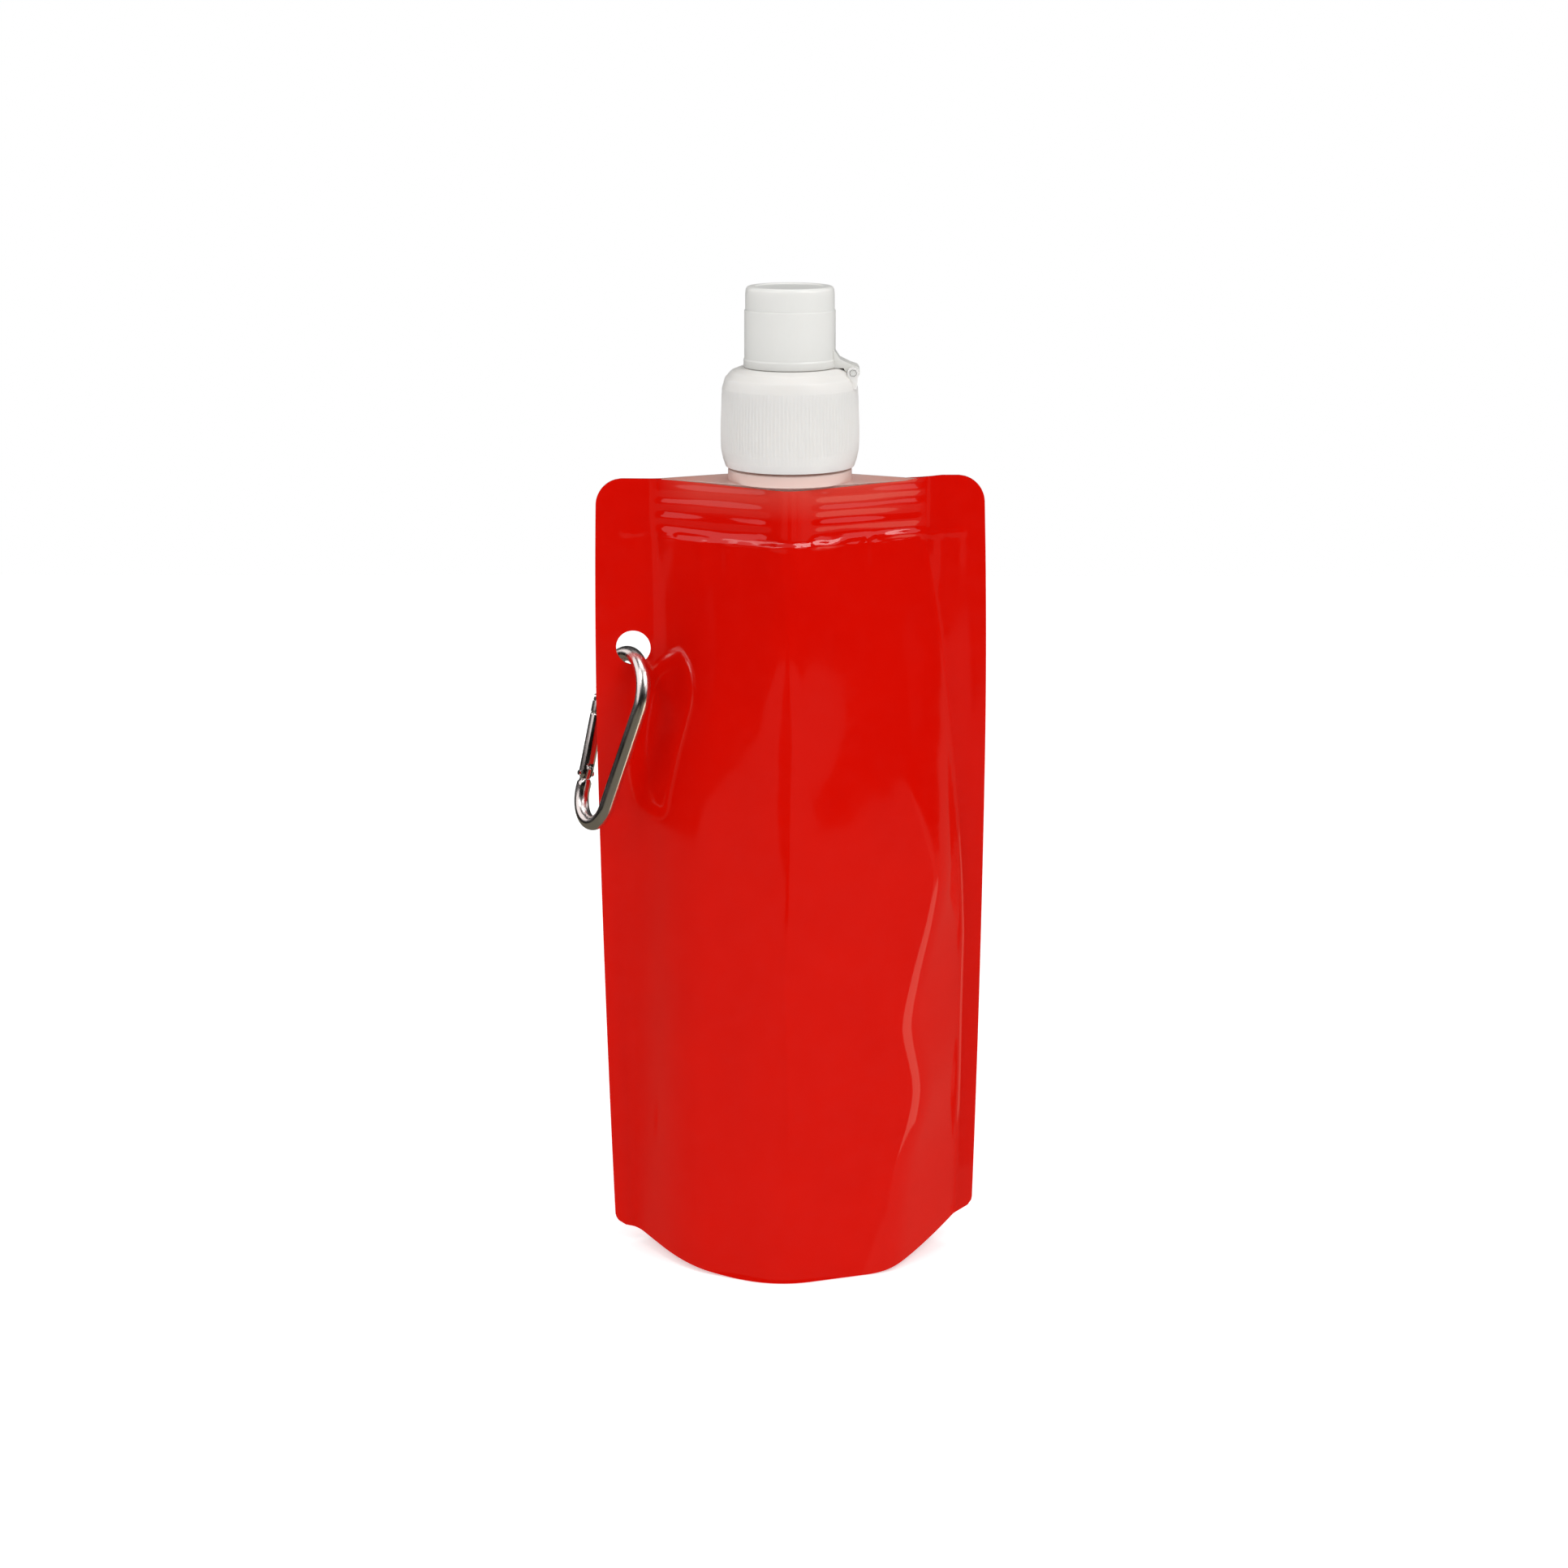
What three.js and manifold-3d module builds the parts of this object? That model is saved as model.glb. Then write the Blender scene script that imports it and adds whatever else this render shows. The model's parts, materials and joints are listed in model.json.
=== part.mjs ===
// Folding water bottle: a stand-up film pouch with a welded drinking spout, a screw cap with a
// push-pull nozzle under a hinged dust cover, and a small carabiner through the left side seal.
// Millimetres, +Z up, front face towards -Y. The origin is on the standing surface, at the middle
// of the whole bottle's bounding box. The bottle itself is drawn about its spout axis.
import * as THREE from "three";
import { mergeVertices } from "three/addons/utils/BufferGeometryUtils.js";
import Module from "manifold-3d";

const wasm = await Module();
wasm.setup();

// ---- Driving dimensions -----------------------------------------------------------------------
const AXIS_X = 3.2; // spout axis from the origin, because the carabiner sticks out to the left
const GAP = 0.3; // gap kept between touching pieces
const FILM = 0.4; // film thickness

const POUCH_TOP = 218; // top edge of the films
const WELD_Z = 203; // lower edge of the weld round the spout
const MID_Z = 120; // height of the pouch's middle cross-section
const EDGE_TOP = 51.2; // half width of the pouch at its top edge
const EDGE_MID = 52.8; // half width at mid height
const EDGE_BASE = 51.2; // half width at the base
const EDGE_MID_Z = 140;
const LEFT_TAPER = 1.9; // how much more the left edge leans in towards the base
const SEAL_W = 6; // width of the side seals
const TOP_CORNER_R = 7; // rounding of the pouch's corners
const BASE_CORNER_R = 5;
const SEAL_T = 0.8; // the side seals are two films thick
// The base edge rests on the surface between -LEFT.flat and RIGHT.flat, and curves up to the corners.
const LEFT = { lift: 5.8, flat: 14, power: 1.4 };
const RIGHT = { lift: 12, flat: 22, power: 1.7 };
const WELD_END = 36; // half length of the weld bands
const GUSSET_SKIRT = 5; // the gusset is welded this far above the foot
const GUSSET_CREST = 20;
const GUSSET_HALF_L = 41;

const HOLE_X = -42; // hole in the left seal, for the carabiner
const HOLE_Z = 172.4;
const HOLE_R = 4.65;
const PATCH_X = -36.6; // the left seal widens to this line around the hole
const PATCH_HALF_Z = 30;
const SEAM_GAP = 0.45; // gap between a panel and the side seals

const BOAT_HALF_L = 35; // weld base of the spout, a rhombus in plan
const BOAT_HALF_T = 15.5;
const BOAT_RIB = 0.9; // how far the weld ribs stand out of the boat
const BOAT_RIBS = 4;
const BOAT_RIB_H = 1.7;
const NECK_R = 14.2;
const NECK_BORE_R = 11.5;
const NECK_TOP = 240;
const COLLAR_R = 16.3;
const COLLAR_H = 2.4;

const THREAD_PITCH = 4;
const THREAD_DEPTH = 1.6;
const THREAD_TURNS = 1.6;
const NECK_THREAD_Z = 227;
const CAP_BORE_R = 16.4;

const CAP_BASE = 221.6;
const CAP_TOP = 247.3;
const CAP_RIBS = 24;
const CAP_RIB_DEPTH = 0.35;
const LINER_Z = 240.3;
const LINER_H = 1.4;

const POST_R = 7; // drinking post on the cap, which the nozzle slides on
const POST_BORE_R = 4.6;
const POST_TOP = 257.5;
const PIN_R = 1.8; // centre pin that plugs the nozzle when it is pushed down
const PIN_TOP = 261.8;

const NOZZLE_BASE = 249.9;
const NOZZLE_TOP = 262.4;

const COVER_R = 11.85;
const COVER_WALL = 1.1;
const COVER_BASE = 247.8;
const COVER_TOP = 268.2;
const HINGE_X = 16.4; // dust cover hinge, at the right of the cap
const HINGE_Z = 246.4;
const TRUNNION_R = 0.8;
const LUG_R = 1.5;
const LUG_IN = 4.4; // the hinge lugs stand between these distances from the middle
const LUG_OUT = 6.4;

const ROD_R = 2; // carabiner rod
const LOOP_R = 11; // top bend, which hangs in the hole
const FOOT_R = 7.6; // bottom bend
const FOOT_A = 1; // centre of the bottom bend, across and down from the hanging point
const FOOT_B = 40.2;
const HANG_DROP = 2.2; // hanging point below the hole's centre
const LOOP_TILT = THREE.MathUtils.degToRad(16.5); // the loop leans out past the pouch's edge
const LOOP_TURN = THREE.MathUtils.degToRad(60); // its plane against the pouch's plane
const TONGUE_T = 1.7; // flattened ends of the rod
const FORK_T = 2.1; // slots in the gate that take them
const TONGUE_R = 1.75; // half width of the tongues
const GATE_R = 1.95;
const GATE_LENGTH = 22; // from the rivet to the gate's tip
const FORK_DEPTH = 4.6; // depth of the slot at the gate's tip
const SPRING_FROM = 6.2; // the spring lies in the gate's bore between these distances
const SPRING_TO = 13.4;
const SPRING_BORE_R = 1.2;
const RIVET_R = 0.7;
const RIVET_BORE_R = 0.8;
const RIVET = { a: -7.3, b: 37 }; // gate hinge in the loop's own plane
const LATCH = { a: -10.8, b: 16.6 };
const LATCH_R = 0.6;
const LATCH_HALF = 1.75;
const NOSE_B = 14.2; // where the rod flattens into the nose's tongue

// ---- Colours ----------------------------------------------------------------------------------
const paint = (color, roughness, metalness = 0) =>
  new THREE.MeshStandardMaterial({ color, roughness, metalness });
const redFilm = paint(0xd01808, 0.2);
const spoutPlastic = paint(0xe6dcd6, 0.45);
const capPlastic = paint(0xe8e8e4, 0.4);
const coverPlastic = paint(0xf0f0ee, 0.3);
const linerFoam = paint(0xf6f6f6, 0.8);
const polishedMetal = paint(0xc9bdb6, 0.15, 1);
const springSteel = paint(0x8f8f92, 0.3, 1);

// ---- Solids -----------------------------------------------------------------------------------
// A geometry of closed, merged triangles that face out.
function closedGeometry(geometry) {
  const bare = (geometry.index ? geometry.toNonIndexed() : geometry.clone()).deleteAttribute("normal");
  bare.deleteAttribute("uv");
  return mergeVertices(bare, 1e-4);
}

function toSolid(geometry) {
  const merged = closedGeometry(geometry);
  const mesh = new wasm.Mesh({
    numProp: 3,
    vertProperties: merged.attributes.position.array,
    triVerts: new Uint32Array(merged.index.array),
  });
  return new wasm.Manifold(mesh);
}

function toGeometry(solid) {
  const mesh = solid.getMesh();
  return new THREE.BufferGeometry()
    .setAttribute("position", new THREE.BufferAttribute(mesh.vertProperties, 3))
    .setIndex(new THREE.BufferAttribute(mesh.triVerts, 1));
}

// Builds a geometry from vertices and quads, turned so that its faces point out.
function fromQuads(vertices, quads) {
  const index = quads.flatMap(([a, b, c, d]) => [a, b, c, a, c, d]);
  const at = (i) => new THREE.Vector3(...vertices[i]);
  let volume = 0;
  for (let i = 0; i < index.length; i += 3) {
    volume += at(index[i]).dot(at(index[i + 1]).cross(at(index[i + 2])));
  }
  if (volume < 0) index.reverse();
  return new THREE.BufferGeometry()
    .setAttribute("position", new THREE.Float32BufferAttribute(vertices.flat(), 3))
    .setIndex(index);
}

// A slab over a grid: outer(u, v) and inner(u, v) give its two faces, with u and v from 0 to 1.
function slab(columns, rows, outer, inner) {
  const vertices = [];
  const quads = [];
  const layer = (columns + 1) * (rows + 1);
  const id = (i, j, side) => side * layer + j * (columns + 1) + i;
  for (const face of [outer, inner]) {
    for (let j = 0; j <= rows; j++) {
      for (let i = 0; i <= columns; i++) vertices.push(face(i / columns, j / rows));
    }
  }
  for (let j = 0; j < rows; j++) {
    for (let i = 0; i < columns; i++) {
      quads.push([id(i, j, 0), id(i + 1, j, 0), id(i + 1, j + 1, 0), id(i, j + 1, 0)]);
      quads.push([id(i, j + 1, 1), id(i + 1, j + 1, 1), id(i + 1, j, 1), id(i, j, 1)]);
    }
  }
  const rim = [];
  for (let i = 0; i < columns; i++) rim.push([i, 0]);
  for (let j = 0; j < rows; j++) rim.push([columns, j]);
  for (let i = columns; i > 0; i--) rim.push([i, rows]);
  for (let j = rows; j > 0; j--) rim.push([0, j]);
  rim.forEach(([i, j], k) => {
    const [m, n] = rim[(k + 1) % rim.length];
    quads.push([id(i, j, 1), id(m, n, 1), id(m, n, 0), id(i, j, 0)]);
  });
  return fromQuads(vertices, quads);
}

// A solid of revolution about +Z from [radius, z] points. ripple(segment, radius, z) is added to
// the radius.
function turned(points, segments, ripple = () => 0) {
  const vertices = [];
  const quads = [];
  const count = points.length;
  for (let s = 0; s < segments; s++) {
    const angle = (s / segments) * 2 * Math.PI;
    for (const [radius, z] of points) {
      const r = radius > 0 ? radius + ripple(s, radius, z) : 0;
      vertices.push([r * Math.cos(angle), r * Math.sin(angle), z]);
    }
  }
  for (let s = 0; s < segments; s++) {
    for (let i = 0; i < count; i++) {
      const j = (i + 1) % count;
      const t = (s + 1) % segments;
      quads.push([s * count + i, t * count + i, t * count + j, s * count + j]);
    }
  }
  return mergeVertices(dropFlatFaces(fromQuads(vertices, quads)), 1e-4);
}

// Removes the triangles that have collapsed on the axis of a turned solid.
function dropFlatFaces(geometry) {
  const merged = mergeVertices(geometry, 1e-4);
  const index = Array.from(merged.index.array);
  const kept = [];
  for (let i = 0; i < index.length; i += 3) {
    const [a, b, c] = index.slice(i, i + 3);
    if (a !== b && b !== c && c !== a) kept.push(a, b, c);
  }
  return merged.setIndex(kept);
}

const turnedSolid = (points, segments, ripple) => toSolid(turned(points, segments, ripple));

// A cylinder between two points.
function rod(from, to, radius, sides = 20) {
  const a = new THREE.Vector3(...from);
  const b = new THREE.Vector3(...to);
  const geometry = new THREE.CylinderGeometry(radius, radius, a.distanceTo(b), sides);
  geometry.applyQuaternion(
    new THREE.Quaternion().setFromUnitVectors(new THREE.Vector3(0, 1, 0), b.clone().sub(a).normalize()),
  );
  return toSolid(geometry.translate(...a.add(b).multiplyScalar(0.5).toArray()));
}

// A box from its lowest to its highest corner.
function block(low, high) {
  const size = high.map((h, i) => h - low[i]);
  const middle = high.map((h, i) => (h + low[i]) / 2);
  return toSolid(new THREE.BoxGeometry(...size).translate(...middle));
}

// A prism of a shape in XY, from z = bottom to z = top.
function prism(shape, bottom, top, curveSegments = 12) {
  const depth = top - bottom;
  const solid = new THREE.ExtrudeGeometry(shape, { depth, bevelEnabled: false, curveSegments });
  return solid.translate(0, 0, bottom);
}

// One thread ridge round +Z, from a wall at radius wall to the radius crest, fading in and out.
function threadRidge(wall, crest, startZ) {
  const STEPS_PER_TURN = 24;
  const SUNK = 0.35; // how far the ridge's root lies in its wall
  const ROOT_HALF = 0.75;
  const CREST_HALF = 0.4;
  const steps = Math.round(THREAD_TURNS * STEPS_PER_TURN);
  const outwards = Math.sign(crest - wall);
  const vertices = [];
  const quads = [];
  for (let k = 0; k <= steps; k++) {
    const angle = (k / STEPS_PER_TURN) * 2 * Math.PI;
    const fade = Math.min(1, Math.min(k, steps - k) / 4 + 0.08);
    const z = startZ + (THREAD_PITCH * k) / STEPS_PER_TURN;
    const top = wall + (crest - wall) * fade;
    const root = wall - outwards * SUNK;
    const section = [[root, -ROOT_HALF], [top, -CREST_HALF], [top, CREST_HALF], [root, ROOT_HALF]];
    for (const [r, dz] of section) vertices.push([r * Math.cos(angle), r * Math.sin(angle), z + dz]);
  }
  for (let k = 0; k < steps; k++) {
    for (let i = 0; i < 4; i++) {
      const j = (i + 1) % 4;
      quads.push([4 * k + i, 4 * k + j, 4 * k + 4 + j, 4 * k + 4 + i]);
    }
  }
  quads.push([3, 2, 1, 0]);
  quads.push([0, 1, 2, 3].map((i) => 4 * steps + i));
  return toSolid(fromQuads(vertices, quads));
}

const bottle = new THREE.Group();
bottle.position.x = AXIS_X;

function addTo(group, name, geometry, material) {
  const mesh = new THREE.Mesh(geometry, material);
  mesh.name = name;
  group.add(mesh);
}

// ---- The pouch's surface ----------------------------------------------------------------------
// A straight ramp from 0, rounded over +-r about u = 0.
function ramp(u, r) {
  if (u <= -r) return 0;
  if (u >= r) return u;
  return (u + r) ** 2 / (4 * r);
}

// Three values at the base, at MID_Z and at the weld, joined by one parabola.
function alongHeight(z, [base, middle, top]) {
  const a = ((z - MID_Z) * (z - WELD_Z)) / (MID_Z * WELD_Z);
  const b = (z * (WELD_Z - z)) / (MID_Z * (WELD_Z - MID_Z));
  const c = (z * (z - MID_Z)) / (WELD_Z * (WELD_Z - MID_Z));
  return a * base + b * middle + c * top;
}

// Where the cross-section turns, from the left seal to the right one, and how deep it is there.
// Each entry is [base, middle, weld].
const FRONT = {
  x: [[-45, -44, -36], [-30, -28, -18.5], [-3, -2, 0], [28.5, 33, 18.5], [45, 44, 36]],
  depth: [[0, 0, 0], [20.8, 15.5, 8], [29.4, 23, 16.3], [20.8, 12.5, 8], [0, 0, 0]],
  round: [[3, 4, 2], [9, 9, 6], [12, 12, 4], [4, 6, 6], [3, 4, 2]],
};
const BACK = {
  x: [[-45, -44, -36], [-29, -27, -18.5], [0, 0, 0], [29, 27, 18.5], [45, 44, 36]],
  depth: [[0, 0, 0], [20.8, 15.5, 8], [29.4, 23, 16.3], [20.8, 15.5, 8], [0, 0, 0]],
  round: [[3, 4, 2], [9, 9, 6], [12, 12, 4], [4, 9, 6], [3, 4, 2]],
};

// The pouch's two side edges at height z.
function rightEdgeAt(z) {
  const t = z < EDGE_MID_Z ? 1 - z / EDGE_MID_Z : (z - EDGE_MID_Z) / (POUCH_TOP - EDGE_MID_Z);
  return EDGE_MID + ((z < EDGE_MID_Z ? EDGE_BASE : EDGE_TOP) - EDGE_MID) * t * t;
}
const leftEdgeAt = (z) => LEFT_TAPER * (1 - z / POUCH_TOP) - rightEdgeAt(z);

// The inner edges of the side seals; the left one is wider around the hole.
function leftSealAt(z) {
  const plain = leftEdgeAt(z) + SEAL_W;
  return plain + (PATCH_X - plain) * Math.exp(-(((z - HOLE_Z) / PATCH_HALF_Z) ** 2));
}
const rightSealAt = (z) => rightEdgeAt(z) - SEAL_W;

function knots(panel, z) {
  const [x, depth, round] = [panel.x, panel.depth, panel.round].map((rows) =>
    rows.map((row) => alongHeight(z, row)),
  );
  x[0] = Math.max(x[0], leftSealAt(z) + round[0]);
  x[4] = Math.min(x[4], rightSealAt(z) - round[4]);
  return { x, depth, round };
}

// How far a panel stands off the pouch's middle plane at x, z.
function depthAt(panel, x, z) {
  const k = knots(panel, Math.min(z, WELD_Z));
  let depth = 0;
  let slope = 0;
  k.x.forEach((knot, i) => {
    const last = i === k.x.length - 1;
    const next = last ? 0 : (k.depth[i + 1] - k.depth[i]) / (k.x[i + 1] - knot);
    depth += (next - slope) * ramp(x - knot, k.round[i]);
    slope = next;
  });
  return Math.max(0, depth);
}

// The height of the base edge at x.
function baseAt(x) {
  const { lift, flat, power } = x < 0 ? LEFT : RIGHT;
  return lift * Math.max(0, (Math.abs(x) - flat) / (EDGE_BASE - flat)) ** power;
}

// ---- Film panels ------------------------------------------------------------------------------
const GRID_X = 16;
const GRID_Z = 20;

function filmPanel(panel, side) {
  const place = (u, v, offset) => {
    const acrossAt = (z) => THREE.MathUtils.lerp(leftSealAt(z) + SEAM_GAP, rightSealAt(z) - SEAM_GAP, u);
    const base = baseAt(acrossAt(v * WELD_Z));
    const z = THREE.MathUtils.lerp(base, WELD_Z, v);
    const x = acrossAt(z);
    return [x, side * (depthAt(panel, x, z) + offset), z];
  };
  return slab(GRID_X, GRID_Z, (u, v) => place(u, v, GAP / 2 + FILM), (u, v) => place(u, v, GAP / 2));
}
addTo(bottle, "front_film", filmPanel(FRONT, -1), redFilm);
addTo(bottle, "back_film", filmPanel(BACK, 1), redFilm);

// The weld bands: the films' top edges, wrapped round the spout's boat.
function weldBand(side) {
  const place = (u, v, offset) => {
    const x = THREE.MathUtils.lerp(-WELD_END, WELD_END, u);
    const z = THREE.MathUtils.lerp(WELD_Z + GAP, POUCH_TOP, v);
    return [x, side * (depthAt(BACK, x, WELD_Z) + offset), z];
  };
  return slab(20, 1, (u, v) => place(u, v, GAP / 2 + FILM), (u, v) => place(u, v, GAP / 2));
}
addTo(bottle, "top_weld_front", weldBand(-1), redFilm);
addTo(bottle, "top_weld_back", weldBand(1), redFilm);

// ---- Side seals, each with its flat tab beside the spout ----------------------------------------
function sideSeal(left) {
  const side = left ? -1 : 1;
  const outer = left ? leftEdgeAt : rightEdgeAt;
  const inner = left ? leftSealAt : rightSealAt;
  const tab = side * (WELD_END + GAP);
  const foot = baseAt(side * (EDGE_BASE - SEAL_W / 2));
  const STEPS = 20;
  const shape = new THREE.Shape();
  const curveEnd = foot + BASE_CORNER_R;
  shape.moveTo(outer(0) - side * BASE_CORNER_R, foot);
  shape.quadraticCurveTo(outer(0), foot, outer(curveEnd), curveEnd);
  for (let i = 1; i <= STEPS; i++) {
    const z = THREE.MathUtils.lerp(curveEnd, POUCH_TOP - TOP_CORNER_R, i / STEPS);
    shape.lineTo(outer(z), z);
  }
  shape.quadraticCurveTo(side * EDGE_TOP, POUCH_TOP, side * (EDGE_TOP - TOP_CORNER_R), POUCH_TOP);
  shape.lineTo(tab, POUCH_TOP);
  shape.lineTo(tab, WELD_Z + GAP);
  shape.lineTo(inner(WELD_Z), WELD_Z + GAP);
  for (let i = STEPS; i >= 0; i--) {
    const z = THREE.MathUtils.lerp(foot, WELD_Z, i / STEPS);
    shape.lineTo(inner(z), z);
  }
  if (left) {
    const hole = new THREE.Path();
    hole.absarc(HOLE_X, HOLE_Z, HOLE_R, 0, 2 * Math.PI, false);
    shape.holes.push(hole);
  }
  return prism(shape, -SEAL_T / 2, SEAL_T / 2, 16).rotateX(Math.PI / 2);
}
addTo(bottle, "left_side_seal", sideSeal(true), redFilm);
addTo(bottle, "right_side_seal", sideSeal(false), redFilm);

// ---- Bottom gusset: one film folded upwards between the panels' feet, as its two leaves ---------
function gussetLeaf(panel, side) {
  const place = (u, v, offset) => {
    const x = THREE.MathUtils.lerp(-GUSSET_HALF_L, GUSSET_HALF_L, u);
    const foot = baseAt(x) + GUSSET_SKIRT;
    const reach = Math.max(0.8, depthAt(panel, x, foot) * 0.97 - GAP);
    const rise = (GUSSET_CREST - GUSSET_SKIRT) * (1 - v * v) * Math.min(1, reach / BOAT_HALF_T);
    return [x, side * THREE.MathUtils.lerp(GAP / 2, reach, v), foot + rise + offset];
  };
  return slab(16, 5, (u, v) => place(u, v, FILM), (u, v) => place(u, v, 0));
}
addTo(bottle, "gusset_front_leaf", gussetLeaf(FRONT, -1), redFilm);
addTo(bottle, "gusset_back_leaf", gussetLeaf(BACK, 1), redFilm);

// ---- Spout: weld boat, collar and threaded neck, one moulding -----------------------------------
function rhombus(inset) {
  const STEPS = 7;
  const half = (x) => depthAt(BACK, x, WELD_Z) - GAP / 2 - inset;
  const front = [];
  for (let i = -STEPS; i <= STEPS; i++) {
    const x = (i / STEPS) * (BOAT_HALF_L - 1.5 - 2 * inset);
    front.push(new THREE.Vector2(x, -Math.max(0.35, half(x))));
  }
  return new THREE.Shape([...front, ...front.map((p) => new THREE.Vector2(-p.x, -p.y))]);
}

function spoutFitment() {
  const bottom = WELD_Z + 0.5;
  let solid = toSolid(prism(rhombus(BOAT_RIB), bottom, POUCH_TOP));
  for (let i = 0; i < BOAT_RIBS; i++) {
    const z = THREE.MathUtils.lerp(bottom, POUCH_TOP - BOAT_RIB_H, i / (BOAT_RIBS - 1));
    solid = solid.add(toSolid(prism(rhombus(GAP / 2), z, z + BOAT_RIB_H)));
  }
  const neck = [
    [NECK_BORE_R, WELD_Z + 0.2],
    [NECK_R, WELD_Z + 0.2],
    [NECK_R, POUCH_TOP],
    [COLLAR_R, POUCH_TOP],
    [COLLAR_R, POUCH_TOP + COLLAR_H],
    [NECK_R, POUCH_TOP + COLLAR_H + 0.6],
    [NECK_R, NECK_TOP - 0.8],
    [NECK_R - 0.8, NECK_TOP],
    [NECK_BORE_R, NECK_TOP],
  ];
  solid = solid.add(turnedSolid(neck, 36));
  solid = solid.add(threadRidge(NECK_R, NECK_R + THREAD_DEPTH, NECK_THREAD_Z));
  return toGeometry(solid.subtract(rod([0, 0, 190], [0, 0, 250], NECK_BORE_R, 36)));
}
addTo(bottle, "spout_fitment", spoutFitment(), spoutPlastic);

// ---- Cap liner: the sealing ring between the neck's rim and the cap -----------------------------
const linerRing = [
  [NECK_BORE_R - 0.5, LINER_Z],
  [CAP_BORE_R - 1.6, LINER_Z],
  [CAP_BORE_R - 1.6, LINER_Z + LINER_H],
  [NECK_BORE_R - 0.5, LINER_Z + LINER_H],
];
addTo(bottle, "cap_liner", turned(linerRing, 28), linerFoam);

// ---- Screw cap: ribbed skirt, shoulder, drinking post with its centre pin, hinge lugs -----------
function screwCap() {
  const plate = LINER_Z + LINER_H + GAP;
  const SHELL_SEGMENTS = 2 * CAP_RIBS;
  const shell = [
    [CAP_BORE_R, CAP_BASE],
    [CAP_BORE_R + 0.5, CAP_BASE],
    [17.6, CAP_BASE + 2],
    [18.1, CAP_BASE + 4.5],
    [18.2, CAP_BASE + 9],
    [18.0, CAP_BASE + 16],
    [17.8, CAP_BASE + 20.4],
    [17.1, CAP_BASE + 23.2],
    [15.4, CAP_BASE + 25],
    [13.2, CAP_TOP],
    [POST_R - 1, CAP_TOP],
    [POST_R - 1, plate],
    [CAP_BORE_R, plate],
  ];
  const ribbed = (s, radius, z) => (s % 2 && radius > 17.7 && z > CAP_BASE + 3 ? -CAP_RIB_DEPTH : 0);
  let solid = turnedSolid(shell, SHELL_SEGMENTS, ribbed);
  const post = [
    [POST_BORE_R, plate],
    [POST_R, plate],
    [POST_R, POST_TOP - 0.8],
    [POST_R - 0.6, POST_TOP],
    [POST_BORE_R, POST_TOP],
  ];
  solid = solid.add(turnedSolid(post, 28));
  const snapRing = [
    [9.7, CAP_TOP - 0.5],
    [10.45, CAP_TOP - 0.5],
    [10.45, CAP_TOP + 2],
    [9.7, CAP_TOP + 2],
  ];
  solid = solid.add(turnedSolid(snapRing, 28));
  const pin = [
    [0, plate],
    [PIN_R, plate],
    [PIN_R, PIN_TOP - 0.6],
    [PIN_R - 0.6, PIN_TOP],
    [0, PIN_TOP],
  ];
  solid = solid.add(turnedSolid(pin, 16));
  const SPOKES = 3;
  for (let i = 0; i < SPOKES; i++) {
    const angle = ((i + 0.5) / SPOKES) * 2 * Math.PI;
    const reach = POST_BORE_R + 0.8;
    const spoke = block([0, -0.6, plate], [reach, 0.6, plate + 1.6]);
    solid = solid.add(spoke.rotate([0, 0, THREE.MathUtils.radToDeg(angle)]));
  }
  const threadZ = NECK_THREAD_Z + THREAD_PITCH / 2;
  solid = solid.add(threadRidge(CAP_BORE_R, CAP_BORE_R - THREAD_DEPTH, threadZ));
  for (const side of [-1, 1]) {
    const [low, high] = side < 0 ? [-LUG_OUT, -LUG_IN] : [LUG_IN, LUG_OUT];
    solid = solid.add(rod([HINGE_X, low, HINGE_Z], [HINGE_X, high, HINGE_Z], LUG_R));
    solid = solid.add(block([HINGE_X - LUG_R, low, CAP_TOP - 5], [HINGE_X + LUG_R - 0.6, high, HINGE_Z]));
  }
  const pocket = rod([HINGE_X, -LUG_IN, HINGE_Z], [HINGE_X, LUG_IN, HINGE_Z], LUG_R + 0.6);
  const far = LUG_OUT + 1;
  const bores = rod([HINGE_X, -far, HINGE_Z], [HINGE_X, far, HINGE_Z], TRUNNION_R + 0.12, 16);
  return toGeometry(solid.subtract(pocket).subtract(bores));
}
addTo(bottle, "screw_cap", screwCap(), capPlastic);

// ---- Pull nozzle: slides up the post to open ----------------------------------------------------
const nozzleProfile = [
  [POST_R + 0.15, NOZZLE_BASE],
  [9.6, NOZZLE_BASE],
  [9.8, NOZZLE_BASE + 1.2],
  [9.1, NOZZLE_BASE + 2],
  [8.2, NOZZLE_BASE + 7.6],
  [7.2, NOZZLE_BASE + 9.2],
  [5.6, NOZZLE_BASE + 10.4],
  [5.9, NOZZLE_BASE + 11.4],
  [5.3, NOZZLE_TOP],
  [PIN_R + 0.25, NOZZLE_TOP],
  [PIN_R + 0.25, NOZZLE_TOP - 3],
  [POST_R - 1.2, POST_TOP + 0.4],
  [POST_R + 0.15, POST_TOP - 0.2],
];
addTo(bottle, "pull_nozzle", turned(nozzleProfile, 28), capPlastic);

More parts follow.
